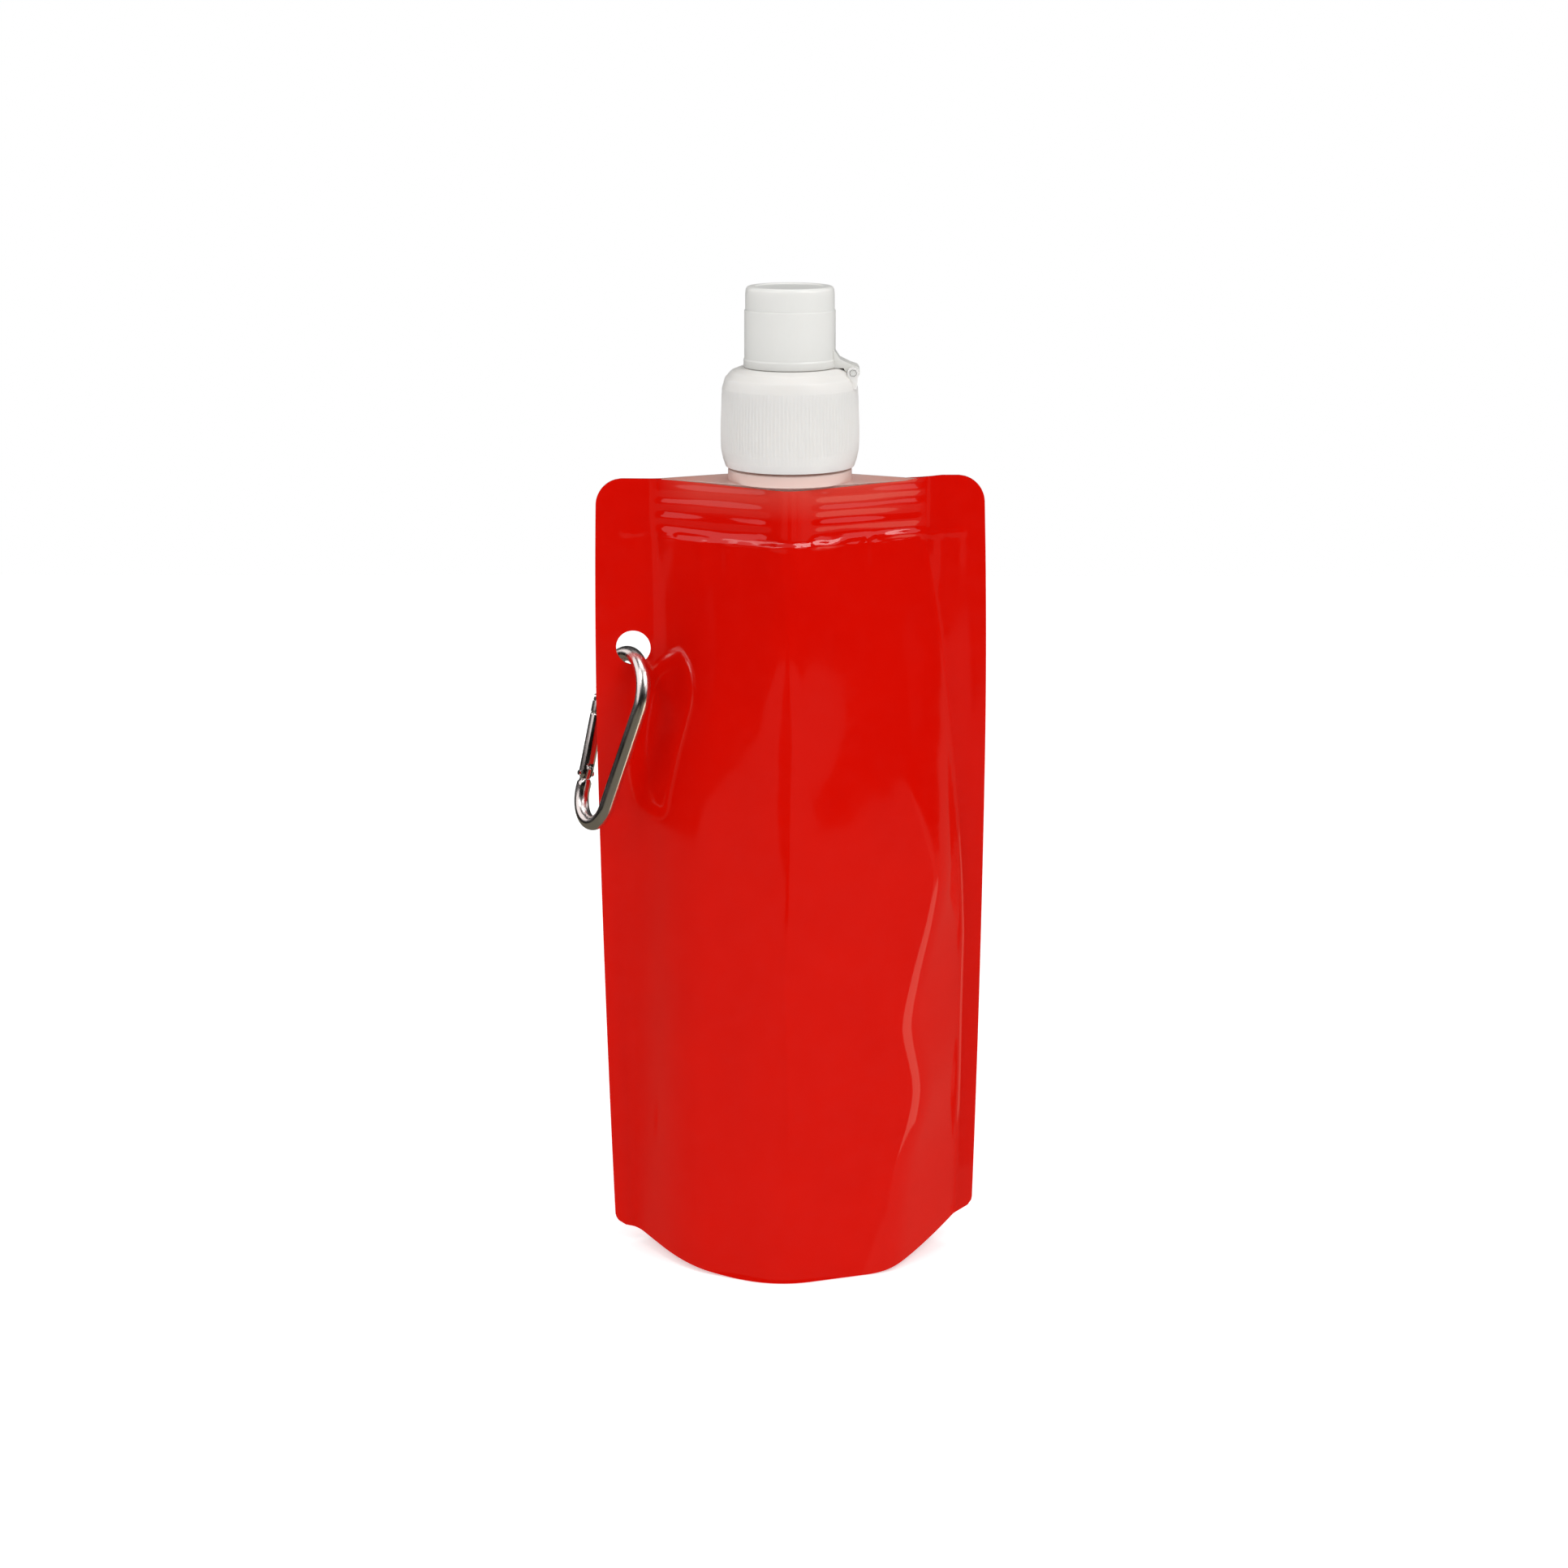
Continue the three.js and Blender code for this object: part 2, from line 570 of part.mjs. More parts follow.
// ---- Dust cover: a cup over the nozzle, with a hinge ear and trunnions at its right -------------
function dustCover() {
  const inner = COVER_R - COVER_WALL;
  const cup = [
    [inner, COVER_BASE],
    [COVER_R + 0.25, COVER_BASE],
    [COVER_R + 0.25, COVER_BASE + 1.6],
    [COVER_R, COVER_BASE + 2.1],
    [COVER_R, COVER_TOP - 6.2],
    [COVER_R - 0.2, COVER_TOP - 5.8],
    [COVER_R - 0.25, COVER_TOP - 2.2],
    [COVER_R - 0.9, COVER_TOP - 0.7],
    [COVER_R - 2.2, COVER_TOP],
    [0, COVER_TOP],
    [0, COVER_TOP - COVER_WALL],
    [inner - 1, COVER_TOP - COVER_WALL],
    [inner - 0.2, COVER_TOP - COVER_WALL - 1],
  ];
  let solid = turnedSolid(cup, 32);
  const EAR_HALF = LUG_IN - 0.35;
  const ear = new THREE.Shape();
  const HUB_R = 1.25;
  ear.moveTo(inner + 0.5, COVER_BASE);
  ear.lineTo(HINGE_X - 2 * HUB_R, COVER_BASE);
  ear.absarc(HINGE_X, HINGE_Z, HUB_R, Math.PI, 2.25 * Math.PI, false);
  ear.lineTo(COVER_R - 0.3, COVER_BASE + 4);
  ear.lineTo(inner + 0.5, COVER_BASE + 4);
  const web = prism(ear, -EAR_HALF, EAR_HALF).rotateX(Math.PI / 2);
  solid = solid.add(toSolid(web));
  const trunnion = LUG_OUT - 0.2;
  solid = solid.add(rod([HINGE_X, -trunnion, HINGE_Z], [HINGE_X, trunnion, HINGE_Z], TRUNNION_R, 16));
  return toGeometry(solid);
}
addTo(bottle, "dust_cover", dustCover(), coverPlastic);

// ---- Carabiner, drawn in its own plane: a across, b down from the hanging point -----------------
const clip = new THREE.Group();
const down = new THREE.Vector3(-Math.sin(LOOP_TILT), 0, -Math.cos(LOOP_TILT));
const across = new THREE.Vector3(Math.cos(LOOP_TURN), -Math.sin(LOOP_TURN), 0);
across.applyAxisAngle(new THREE.Vector3(0, 1, 0), LOOP_TILT);
const up = down.clone().negate();
clip.setRotationFromMatrix(new THREE.Matrix4().makeBasis(across, up.clone().cross(across), up));
clip.position.set(HOLE_X, 0, HOLE_Z - HANG_DROP);
bottle.add(clip);

const inPlane = (a, b, w = 0) => [a, w, -b];

// The rod's middle line: up the nose, round the top, down the spine, round the foot to the hinge.
function loopLine() {
  const point = (a, b) => new THREE.Vector3(...inPlane(a, b));
  const arc = (ca, cb, r, from, to, steps) => {
    const points = [];
    for (let i = 0; i <= steps; i++) {
      const t = THREE.MathUtils.degToRad(THREE.MathUtils.lerp(from, to, i / steps));
      points.push(point(ca + r * Math.cos(t), cb - r * Math.sin(t)));
    }
    return points;
  };
  return [
    point(LATCH.a - 0.1, NOSE_B),
    ...arc(0, LOOP_R, LOOP_R, 180, 0, 14),
    ...arc(FOOT_A, FOOT_B, FOOT_R, 0, -180, 12),
    point(RIVET.a + 0.6, FOOT_B - 1.2),
  ];
}

// A tube of radius r along a row of points that lie in the loop's plane.
function planarTube(points, r, sides) {
  const normal = new THREE.Vector3(0, 1, 0);
  const vertices = [];
  const quads = [];
  points.forEach((p, k) => {
    const ahead = points[Math.min(k + 1, points.length - 1)];
    const behind = points[Math.max(k - 1, 0)];
    const side = ahead.clone().sub(behind).normalize().cross(normal);
    for (let s = 0; s < sides; s++) {
      const t = (s / sides) * 2 * Math.PI;
      const q = p.clone().addScaledVector(side, r * Math.cos(t)).addScaledVector(normal, r * Math.sin(t));
      vertices.push(q.toArray());
      if (k > 0) {
        const n = (s + 1) % sides;
        const a = (k - 1) * sides;
        quads.push([a + s, a + n, a + sides + n, a + sides + s]);
      }
    }
  });
  const last = (points.length - 1) * sides;
  vertices.push(points[0].toArray(), points.at(-1).toArray());
  const [start, end] = [vertices.length - 2, vertices.length - 1];
  for (let s = 0; s < sides; s++) {
    const n = (s + 1) % sides;
    quads.push([start, n, s, start], [end, last + s, last + n, end]);
  }
  return toSolid(dropFlatFaces(fromQuads(vertices, quads)));
}

// A rod through the loop's plane at a, b.
const through = ({ a, b }, half, radius, sides = 16) =>
  rod(inPlane(a, b, -half), inPlane(a, b, half), radius, sides);

function carabinerBody() {
  const half = TONGUE_T / 2;
  let solid = planarTube(loopLine(), ROD_R, 12);
  // the tongue at the nose, which the gate's fork closes over
  solid = solid.add(block([LATCH.a - 1.1, -half, -18], [LATCH.a + 0.9, half, 0.7 - NOSE_B]));
  // the tongue at the foot, which carries the rivet
  solid = solid.add(through(RIVET, half, TONGUE_R, 20));
  solid = solid.add(
    block([RIVET.a - TONGUE_R, -half, -FOOT_B - 0.2], [RIVET.a + TONGUE_R, half, -RIVET.b]),
  );
  return toGeometry(
    solid.subtract(through(RIVET, 3, RIVET_BORE_R)).subtract(through(LATCH, 3, LATCH_R + 0.1)),
  );
}
addTo(clip, "carabiner_body", carabinerBody(), polishedMetal);

// The gate's own axis runs from the rivet to the latch.
const gateAxis = new THREE.Vector2(LATCH.a - RIVET.a, LATCH.b - RIVET.b).normalize();
const onGate = (t, w = 0, off = 0) =>
  inPlane(RIVET.a + gateAxis.x * t - gateAxis.y * off, RIVET.b + gateAxis.y * t + gateAxis.x * off, w);

function slotAcross(from, to) {
  const middle = (from + to) / 2;
  const slot = new THREE.BoxGeometry(8, FORK_T, to - from);
  slot.rotateY(Math.atan2(gateAxis.x, -gateAxis.y));
  return toSolid(slot.translate(...onGate(middle)));
}

function carabinerGate() {
  let solid = rod(onGate(0), onGate(GATE_LENGTH), GATE_R, 20);
  solid = solid.add(through(RIVET, GATE_R, TONGUE_R - 0.05, 20));
  solid = solid.subtract(slotAcross(-4, 3));
  solid = solid.subtract(slotAcross(GATE_LENGTH - FORK_DEPTH, GATE_LENGTH + 1));
  solid = solid.subtract(rod(onGate(0), onGate(SPRING_TO + GAP), SPRING_BORE_R, 14));
  solid = solid.subtract(through(RIVET, 3, RIVET_BORE_R));
  // the notch that lets the gate swing in past the latch pin
  const [px, , pz] = inPlane(LATCH.a, LATCH.b);
  solid = solid.subtract(block([px - 5, -3, pz - 0.95], [px + 0.9, 3, pz + 0.95]));
  return toGeometry(solid);
}
addTo(clip, "carabiner_gate", carabinerGate(), polishedMetal);

addTo(clip, "gate_rivet", toGeometry(through(RIVET, GATE_R + 0.3, RIVET_R)), polishedMetal);
addTo(clip, "latch_pin", toGeometry(through(LATCH, LATCH_HALF, LATCH_R, 14)), springSteel);

// The plunger and spring inside the gate, which press on the tongue at the foot and close it.
const plunger = rod(onGate(2.2), onGate(SPRING_FROM - GAP), 0.85, 14);
addTo(clip, "gate_plunger", toGeometry(plunger), springSteel);

class SpringPath extends THREE.Curve {
  getPoint(t) {
    const TURNS = 6;
    const COIL_R = 0.72;
    const angle = t * TURNS * 2 * Math.PI;
    const along = THREE.MathUtils.lerp(SPRING_FROM + 0.2, SPRING_TO - 0.2, t);
    return new THREE.Vector3(...onGate(along, COIL_R * Math.sin(angle), COIL_R * Math.cos(angle)));
  }
}
const wire = new THREE.Shape().absarc(0, 0, 0.16, 0, 2 * Math.PI, false);
const extrudePath = new SpringPath();
const coil = new THREE.ExtrudeGeometry(wire, { steps: 54, extrudePath, curveSegments: 3 });
addTo(clip, "gate_spring", closedGeometry(coil), springSteel);

const assembly = new THREE.Group();
assembly.add(bottle);
export default assembly;
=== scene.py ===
"""Folding water bottle: the looks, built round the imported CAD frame.

Metres outside, millimetres inside: shapes are drawn in millimetres about the spout axis, +Z up and
the front panel towards -Y, and put() turns them into the row frame's metres.
"""
import json
import math

import bmesh
import bpy
import numpy as np
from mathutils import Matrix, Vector


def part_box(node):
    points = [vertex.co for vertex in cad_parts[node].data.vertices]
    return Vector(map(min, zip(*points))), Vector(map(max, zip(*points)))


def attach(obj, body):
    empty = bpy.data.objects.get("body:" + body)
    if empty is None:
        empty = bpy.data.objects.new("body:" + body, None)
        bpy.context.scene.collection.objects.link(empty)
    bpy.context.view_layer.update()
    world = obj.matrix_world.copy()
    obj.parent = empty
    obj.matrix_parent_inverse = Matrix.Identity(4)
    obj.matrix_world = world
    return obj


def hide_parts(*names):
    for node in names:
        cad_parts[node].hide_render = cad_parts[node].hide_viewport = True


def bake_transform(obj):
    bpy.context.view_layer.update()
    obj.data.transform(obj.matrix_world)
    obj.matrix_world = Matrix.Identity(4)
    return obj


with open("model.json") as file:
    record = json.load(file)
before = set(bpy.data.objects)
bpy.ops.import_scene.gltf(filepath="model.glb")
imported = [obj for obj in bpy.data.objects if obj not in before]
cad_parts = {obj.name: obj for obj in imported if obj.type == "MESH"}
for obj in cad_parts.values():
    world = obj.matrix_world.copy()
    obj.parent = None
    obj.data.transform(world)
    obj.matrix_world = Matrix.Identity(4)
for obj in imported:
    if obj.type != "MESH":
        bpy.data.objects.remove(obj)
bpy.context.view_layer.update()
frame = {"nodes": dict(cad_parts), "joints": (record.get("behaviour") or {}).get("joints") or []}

MM = 0.001
NODES = frame["nodes"]
JOINTS = {joint["name"]: joint for joint in frame["joints"]}


def node_box(node):
    """A CAD node's lowest and highest corner, in millimetres of the row frame."""
    low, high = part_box(node)
    return np.array(low) / MM, np.array(high) / MM


# ---- Sizes taken from the frame ------------------------------------------------------------------
AXIS_X = float(node_box("pull_nozzle")[0][0] + node_box("pull_nozzle")[1][0]) / 2
POUCH_TOP = float(node_box("left_side_seal")[1][2])
WELD_Z = float(node_box("front_film")[1][2])
CAP_BASE = float(node_box("screw_cap")[0][2])
COVER_TOP = float(node_box("dust_cover")[1][2])
HANG = Vector(JOINTS["carabiner_swing"]["pos_m"])
GATE_AXIS = Vector(JOINTS["gate_open"]["axis"]).normalized()
HINGE = np.array(JOINTS["cover_flip"]["pos_m"]) / MM - [AXIS_X, 0, 0]

# ---- Pouch sizes, as in the CAD part -------------------------------------------------------------
MID_Z = 120
EDGE_TOP = 51.2
EDGE_MID = 52.8
EDGE_BASE = 51.2
EDGE_MID_Z = 140
SEAL_W = 4.5  # the flat part of the side seals that shows
TOP_CORNER_R = 7
TOP_DIP = 0.9
TOP_DIP_WIDTH = 22
RIGHT_TAB_LIFT = 1.1
RIGHT_TAB_FROM = 30
RIGHT_TAB_RISE = 10
BASE_CORNER_R = 4
LEFT_TAPER = 1.9
LEFT_BASE = (5.8, 14, 1.4)  # how high the corner is lifted, the flat foot's half width, the curve's power
RIGHT_BASE = (12, 22, 1.7)
HOLE_X = -42
HOLE_Z = 172.4
HOLE_R = 4.65
PATCH_X = -36.6
PATCH_HALF_Z = 30
BOAT_HALF_L = 35
FILM_OUT = 0.32  # the film's two faces, from the middle of its seal
FILM_IN = 0.03


# ---- Mesh helpers --------------------------------------------------------------------------------
def put(points):
    """Bottle millimetres to row-frame metres."""
    return (np.asarray(points, float) + [AXIS_X, 0, 0]) * MM


def point(x, y, z):
    """One bottle point, in metres."""
    return Vector(put([x, y, z]))


def mesh_object(name, points, faces, smooth=35):
    """A new object from points in metres. Edges sharper than smooth degrees stay sharp."""
    mesh = bpy.data.meshes.new(name)
    mesh.from_pydata([tuple(p) for p in points], [], [tuple(f) for f in faces])
    obj = bpy.data.objects.new(name, mesh)
    bpy.context.scene.collection.objects.link(obj)
    clean(obj, smooth)
    return obj


def clean(obj, smooth=35):
    """Merges doubled points, turns all faces outwards and sets smooth shading."""
    bm = bmesh.new()
    bm.from_mesh(obj.data)
    bmesh.ops.remove_doubles(bm, verts=bm.verts, dist=1e-6)
    bmesh.ops.dissolve_degenerate(bm, dist=1e-7, edges=bm.edges)
    bmesh.ops.recalc_face_normals(bm, faces=bm.faces)
    bm.to_mesh(obj.data)
    bm.free()
    for polygon in obj.data.polygons:
        polygon.use_smooth = True
    obj.data.set_sharp_from_angle(angle=math.radians(smooth))


def combine(obj, tool, operation):
    """Joins the tool to obj, or cuts it out of obj, and removes the tool."""
    modifier = obj.modifiers.new("combine", "BOOLEAN")
    modifier.operation = operation
    modifier.solver = "EXACT"
    modifier.object = tool
    bpy.context.view_layer.update()
    evaluated = obj.evaluated_get(bpy.context.evaluated_depsgraph_get())
    result = bpy.data.meshes.new_from_object(evaluated)
    obj.modifiers.remove(modifier)
    old, obj.data = obj.data, result
    bpy.data.meshes.remove(old)
    bpy.data.objects.remove(tool)
    return obj


def cut(obj, *tools):
    for tool in tools:
        combine(obj, tool, "DIFFERENCE")
    clean(obj)
    return obj


def join(obj, *tools):
    for tool in tools:
        combine(obj, tool, "UNION")
    clean(obj)
    return obj


def rounded(corners, steps=5):
    """A profile from (radius, height, fillet) corners, closed, with each fillet as an arc."""
    points = []
    count = len(corners)
    for i, (r, z, fillet) in enumerate(corners):
        here = np.array([r, z], float)
        if not fillet:
            points.append(here)
            continue
        back = np.array(corners[i - 1][:2], float) - here
        ahead = np.array(corners[(i + 1) % count][:2], float) - here
        reach = min(np.linalg.norm(back), np.linalg.norm(ahead))
        back /= np.linalg.norm(back)
        ahead /= np.linalg.norm(ahead)
        half = math.acos(np.clip(back @ ahead, -1, 1)) / 2
        along = min(fillet / math.tan(half), reach * 0.49)
        for k in range(steps + 1):
            t = k / steps
            a, b = here + back * along, here + ahead * along
            points.append((1 - t) ** 2 * a + 2 * t * (1 - t) * here + t * t * b)
    return np.array(points)


def tube_faces(rings, n):
    """The faces of a closed tube: rings of n points each, and its two ends."""
    faces = [tuple(range(n)), tuple((rings - 1) * n + i for i in reversed(range(n)))]
    for k in range(rings - 1):
        for i in range(n):
            j = (i + 1) % n
            faces.append((k * n + i, k * n + j, (k + 1) * n + j, (k + 1) * n + i))
    return faces


def turned_faces(segments, n):
    """The faces of a solid turned all the way round: segments profiles of n points each."""
    faces = []
    for s in range(segments):
        t = (s + 1) % segments
        for i in range(n):
            j = (i + 1) % n
            faces.append((s * n + i, t * n + i, t * n + j, s * n + j))
    return faces


def lathe(name, corners, segments=96, ripple=None):
    """A solid turned about +Z. ripple(angle, radius, height) is added to each radius."""
    profile = rounded(corners)
    points = []
    for angle in np.arange(segments) * 2 * math.pi / segments:
        for r, z in profile:
            radius = r + (ripple(angle, r, z) if ripple and r > 0 else 0)
            points.append((radius * math.cos(angle), radius * math.sin(angle), z))
    return mesh_object(name, put(points), turned_faces(segments, len(profile)))


def prism(name, outline, direction, low, high):
    """A prism of a closed outline. direction is the axis it runs along: 'y' or 'z'."""
    outline = np.asarray(outline, float)
    rings = []
    for level in (low, high):
        if direction == "z":
            rings.append(np.column_stack([outline, np.full(len(outline), level)]))
        else:
            rings.append(np.column_stack([outline[:, 0], np.full(len(outline), level), outline[:, 1]]))
    return mesh_object(name, put(np.vstack(rings)), tube_faces(2, len(outline)))


def bar(start, end, radius, sides=32):
    """A plain cylinder between two points in metres, used as a cutting or joining tool."""
    start, end = Vector(start), Vector(end)
    turn = (end - start).to_track_quat("Z", "Y").to_matrix()
    points = []
    for level in (start, end):
        for k in range(sides):
            t = 2 * math.pi * k / sides
            points.append(level + turn @ Vector((radius * math.cos(t), radius * math.sin(t), 0)))
    return mesh_object("tool", points, tube_faces(2, sides))


def block(corners):
    """A box-like tool from eight corners in metres: two of two of two."""
    faces = [(0, 1, 3, 2), (4, 6, 7, 5), (0, 4, 5, 1), (2, 3, 7, 6), (0, 2, 6, 4), (1, 5, 7, 3)]
    return mesh_object("tool", corners, faces)


def shell(name, outer, inner, keep):
    """A closed shell between two grids of points. keep says which grid cells are there."""
    rows, columns = outer.shape[:2]
    layer = rows * columns
    index = np.arange(layer).reshape(rows, columns)
    faces = []
    for r in range(rows - 1):
        for c in range(columns - 1):
            if not keep[r, c]:
                continue
            a, b, d, e = index[r, c], index[r, c + 1], index[r + 1, c + 1], index[r + 1, c]
            faces += [(a, b, d, e), (a + layer, e + layer, d + layer, b + layer)]
            for inside, p, q in (
                (r > 0 and keep[r - 1, c], a, b),
                (c < columns - 2 and keep[r, c + 1], b, d),
                (r < rows - 2 and keep[r + 1, c], d, e),
                (c > 0 and keep[r, c - 1], e, a),
            ):
                if not inside:
                    faces.append((p, p + layer, q + layer, q))
    points = put(np.concatenate([outer.reshape(-1, 3), inner.reshape(-1, 3)]))
    used = np.unique(np.array(faces).ravel())
    renumber = np.zeros(len(points), int)
    renumber[used] = np.arange(len(used))
    return mesh_object(name, points[used], renumber[np.array(faces)], smooth=60)


def paint(obj, material):
    obj.data.materials.clear()
    obj.data.materials.append(material)
    return obj


# ---- Materials -----------------------------------------------------------------------------------
def new_material(name, base, roughness, **inputs):
    """A Principled material. inputs are the shader's own sockets, by name with _ for a space."""
    material = bpy.data.materials.new(name)
    material.use_nodes = True
    shader = material.node_tree.nodes["Principled BSDF"]
    shader.inputs["Base Color"].default_value = (*base, 1)
    shader.inputs["Roughness"].default_value = roughness
    for key, value in inputs.items():
        shader.inputs[key.replace("_", " ")].default_value = value
    return material


def noise(material, scale, detail=2, stretch=(1, 1, 1)):
    """A noise texture over object coordinates in metres; scale is in cycles per metre."""
    tree = material.node_tree
    coordinates = tree.nodes.new("ShaderNodeTexCoord")
    mapping = tree.nodes.new("ShaderNodeMapping")
    mapping.inputs["Scale"].default_value = stretch
    texture = tree.nodes.new("ShaderNodeTexNoise")
    texture.inputs["Scale"].default_value = scale
    texture.inputs["Detail"].default_value = detail
    tree.links.new(coordinates.outputs["Object"], mapping.inputs["Vector"])
    tree.links.new(mapping.outputs["Vector"], texture.inputs["Vector"])
    return texture


def vary(material, texture, socket, low, high):
    """Drives a shader socket from a texture, between two numbers or two colours."""
    tree = material.node_tree
    shader = tree.nodes["Principled BSDF"]
    if isinstance(low, tuple):
        blend = tree.nodes.new("ShaderNodeMix")
        blend.data_type = "RGBA"
        blend.inputs["A"].default_value = (*low, 1)
        blend.inputs["B"].default_value = (*high, 1)
        tree.links.new(texture.outputs["Fac"], blend.inputs["Factor"])
        tree.links.new(blend.outputs["Result"], shader.inputs[socket])
        return
    scaled = tree.nodes.new("ShaderNodeMapRange")
    scaled.inputs["From Min"].default_value = 0.3
    scaled.inputs["From Max"].default_value = 0.7
    scaled.inputs["To Min"].default_value = low
    scaled.inputs["To Max"].default_value = high
    tree.links.new(texture.outputs["Fac"], scaled.inputs["Value"])
    tree.links.new(scaled.outputs["Result"], shader.inputs[socket])


def bump(material, texture, depth, strength=1.0):
    """Bumps the surface by a texture; depth is in metres."""
    tree = material.node_tree
    node = tree.nodes.new("ShaderNodeBump")
    node.inputs["Distance"].default_value = depth
    node.inputs["Strength"].default_value = strength
    tree.links.new(texture.outputs["Fac"], node.inputs["Height"])
    tree.links.new(node.outputs["Normal"], tree.nodes["Principled BSDF"].inputs["Normal"])


def between(material, axis, start, end):
    """0 at start and 1 at end, along an axis of the row frame, in its millimetres."""
    tree = material.node_tree
    place = tree.nodes.new("ShaderNodeTexCoord")
    split = tree.nodes.new("ShaderNodeSeparateXYZ")
    step = tree.nodes.new("ShaderNodeMapRange")
    step.inputs["From Min"].default_value = start * MM
    step.inputs["From Max"].default_value = end * MM
    tree.links.new(place.outputs["Object"], split.inputs["Vector"])
    tree.links.new(split.outputs[axis], step.inputs["Value"])
    return step.outputs["Result"]


def product(material, *factors):
    """Several masks multiplied."""
    tree = material.node_tree
    total = factors[0]
    for factor in factors[1:]:
        multiply = tree.nodes.new("ShaderNodeMath")
        multiply.operation = "MULTIPLY"
        tree.links.new(total, multiply.inputs[0])
        tree.links.new(factor, multiply.inputs[1])
        total = multiply.outputs["Value"]
    return total


def tint(material, mask, colour):
    """Mixes a colour into the base colour where the mask is 1."""
    tree = material.node_tree
    base = tree.nodes["Principled BSDF"].inputs["Base Color"]
    blend = tree.nodes.new("ShaderNodeMix")
    blend.data_type = "RGBA"
    if base.links:
        tree.links.new(base.links[0].from_socket, blend.inputs["A"])
    else:
        blend.inputs["A"].default_value = base.default_value
    blend.inputs["B"].default_value = (*colour, 1)
    tree.links.new(mask, blend.inputs["Factor"])
    tree.links.new(blend.outputs["Result"], base)


# Where the film is fused to the white spout: the full tone's half length, and how far below the top
# edge the tone starts and is full.
FUSED_HALF_L = 24
FUSED_FROM = 9
FUSED_FULL = 1


def red_film():
    """Red laminate, with a paler, pinker tone where it is fused to the white spout."""
    material = new_material("red_film", (0.66, 0.003, 0.0002), 0.1, Specular_IOR_Level=0.45)
    vary(material, noise(material, 60, 3), "Base Color", (0.62, 0.0026, 0.0001), (0.68, 0.0036, 0.0002))
    vary(material, noise(material, 240, 4), "Roughness", 0.06, 0.1)
    bump(material, noise(material, 500, 3), 0.00001, 0.3)
    fused = product(
        material,
        between(material, "X", AXIS_X - BOAT_HALF_L, AXIS_X - FUSED_HALF_L),
        between(material, "X", AXIS_X + BOAT_HALF_L, AXIS_X + FUSED_HALF_L),
        between(material, "Z", POUCH_TOP - FUSED_FROM, POUCH_TOP - FUSED_FULL),
    )
    tint(material, fused, (0.66, 0.045, 0.03))
    return material


def frosted(name, base, roughness, subsurface):
    """Pale polyethylene. Its roughness stays on one side of what the denoiser takes for a mirror."""
    material = new_material(
        name, base, roughness, IOR=1.51,
        Subsurface_Weight=subsurface, Subsurface_Scale=0.003, Subsurface_Radius=(1, 0.95, 0.9),
    )
    vary(material, noise(material, 400, 3), "Roughness", roughness * 0.98, roughness * 1.03)
    bump(material, noise(material, 1500, 2), 0.00001, 0.4)
    return material


def polished(name, base, roughness):
    material = new_material(name, base, roughness, Metallic=1.0)
    vary(material, noise(material, 300, 4, (1, 1, 0.2)), "Roughness", roughness * 0.7, roughness * 1.5)
    vary(material, noise(material, 90, 2), "Base Color", base, tuple(0.93 * c for c in base))
    bump(material, noise(material, 2500, 2), 0.000004, 0.3)
    return material


# Painted red light from the film on the boat's ends: where it starts and where it is full, from the axis, and
# how far above the pouch's top it fades out.
BOAT_RED_LIGHT_FROM = 12
BOAT_RED_LIGHT_FULL = 30
BOAT_RED_LIGHT_FADE = 0.6


def spout_plastic():
    """The spout's boat, with painted red light from the film mixed into its colour, strongest at its two
    ends.
    """
    material = frosted("spout_plastic", (0.84, 0.61, 0.55), 0.34, 0.6)
    for end in (-1, 1):
        # Painted red light from the film, mixed into the boat's colour at each end.
        red_light_from_film = product(
            material,
            between(material, "X", AXIS_X + end * BOAT_RED_LIGHT_FROM, AXIS_X + end * BOAT_RED_LIGHT_FULL),
            between(material, "Z", POUCH_TOP + BOAT_RED_LIGHT_FADE, POUCH_TOP),
        )
        tint(material, red_light_from_film, (0.7, 0.3, 0.24))
    return material


FILM = red_film()
CAP_PLASTIC = frosted("cap_plastic", (0.825, 0.805, 0.775), 0.36, 0.6)
COVER_PLASTIC = frosted("cover_plastic", (0.835, 0.83, 0.795), 0.3, 0.3)
SPOUT_PLASTIC = spout_plastic()
LINER_FOAM = new_material("liner_foam", (0.9, 0.9, 0.89), 0.8)
bump(LINER_FOAM, noise(LINER_FOAM, 2500, 3), 0.00003, 0.6)
POLISHED = polished("polished_metal", (0.86, 0.8, 0.78), 0.2)
SPRING_STEEL = polished("spring_steel", (0.56, 0.55, 0.55), 0.25)


# ---- The pouch's surface -------------------------------------------------------------------------
def bell(u, width):
    return np.exp(-((u / width) ** 2))


def fade(u, length):
    """0 before u = 0, then straight up to 1 at length."""
    return np.clip(u / length, 0, 1)


def ramp(u, r):
    """0 before the corner and u after it, rounded over r each side."""
    return np.where(u <= -r, 0, np.where(u >= r, u, (u + r) ** 2 / (4 * r)))


def along_height(z, values):
    """Three values at the base, at MID_Z and at the weld, joined by one parabola."""
    base, middle, top = values
    return (
        (z - MID_Z) * (z - WELD_Z) / (MID_Z * WELD_Z) * base
        + z * (WELD_Z - z) / (MID_Z * (WELD_Z - MID_Z)) * middle
        + z * (z - MID_Z) / (WELD_Z * (WELD_Z - MID_Z)) * top
    )


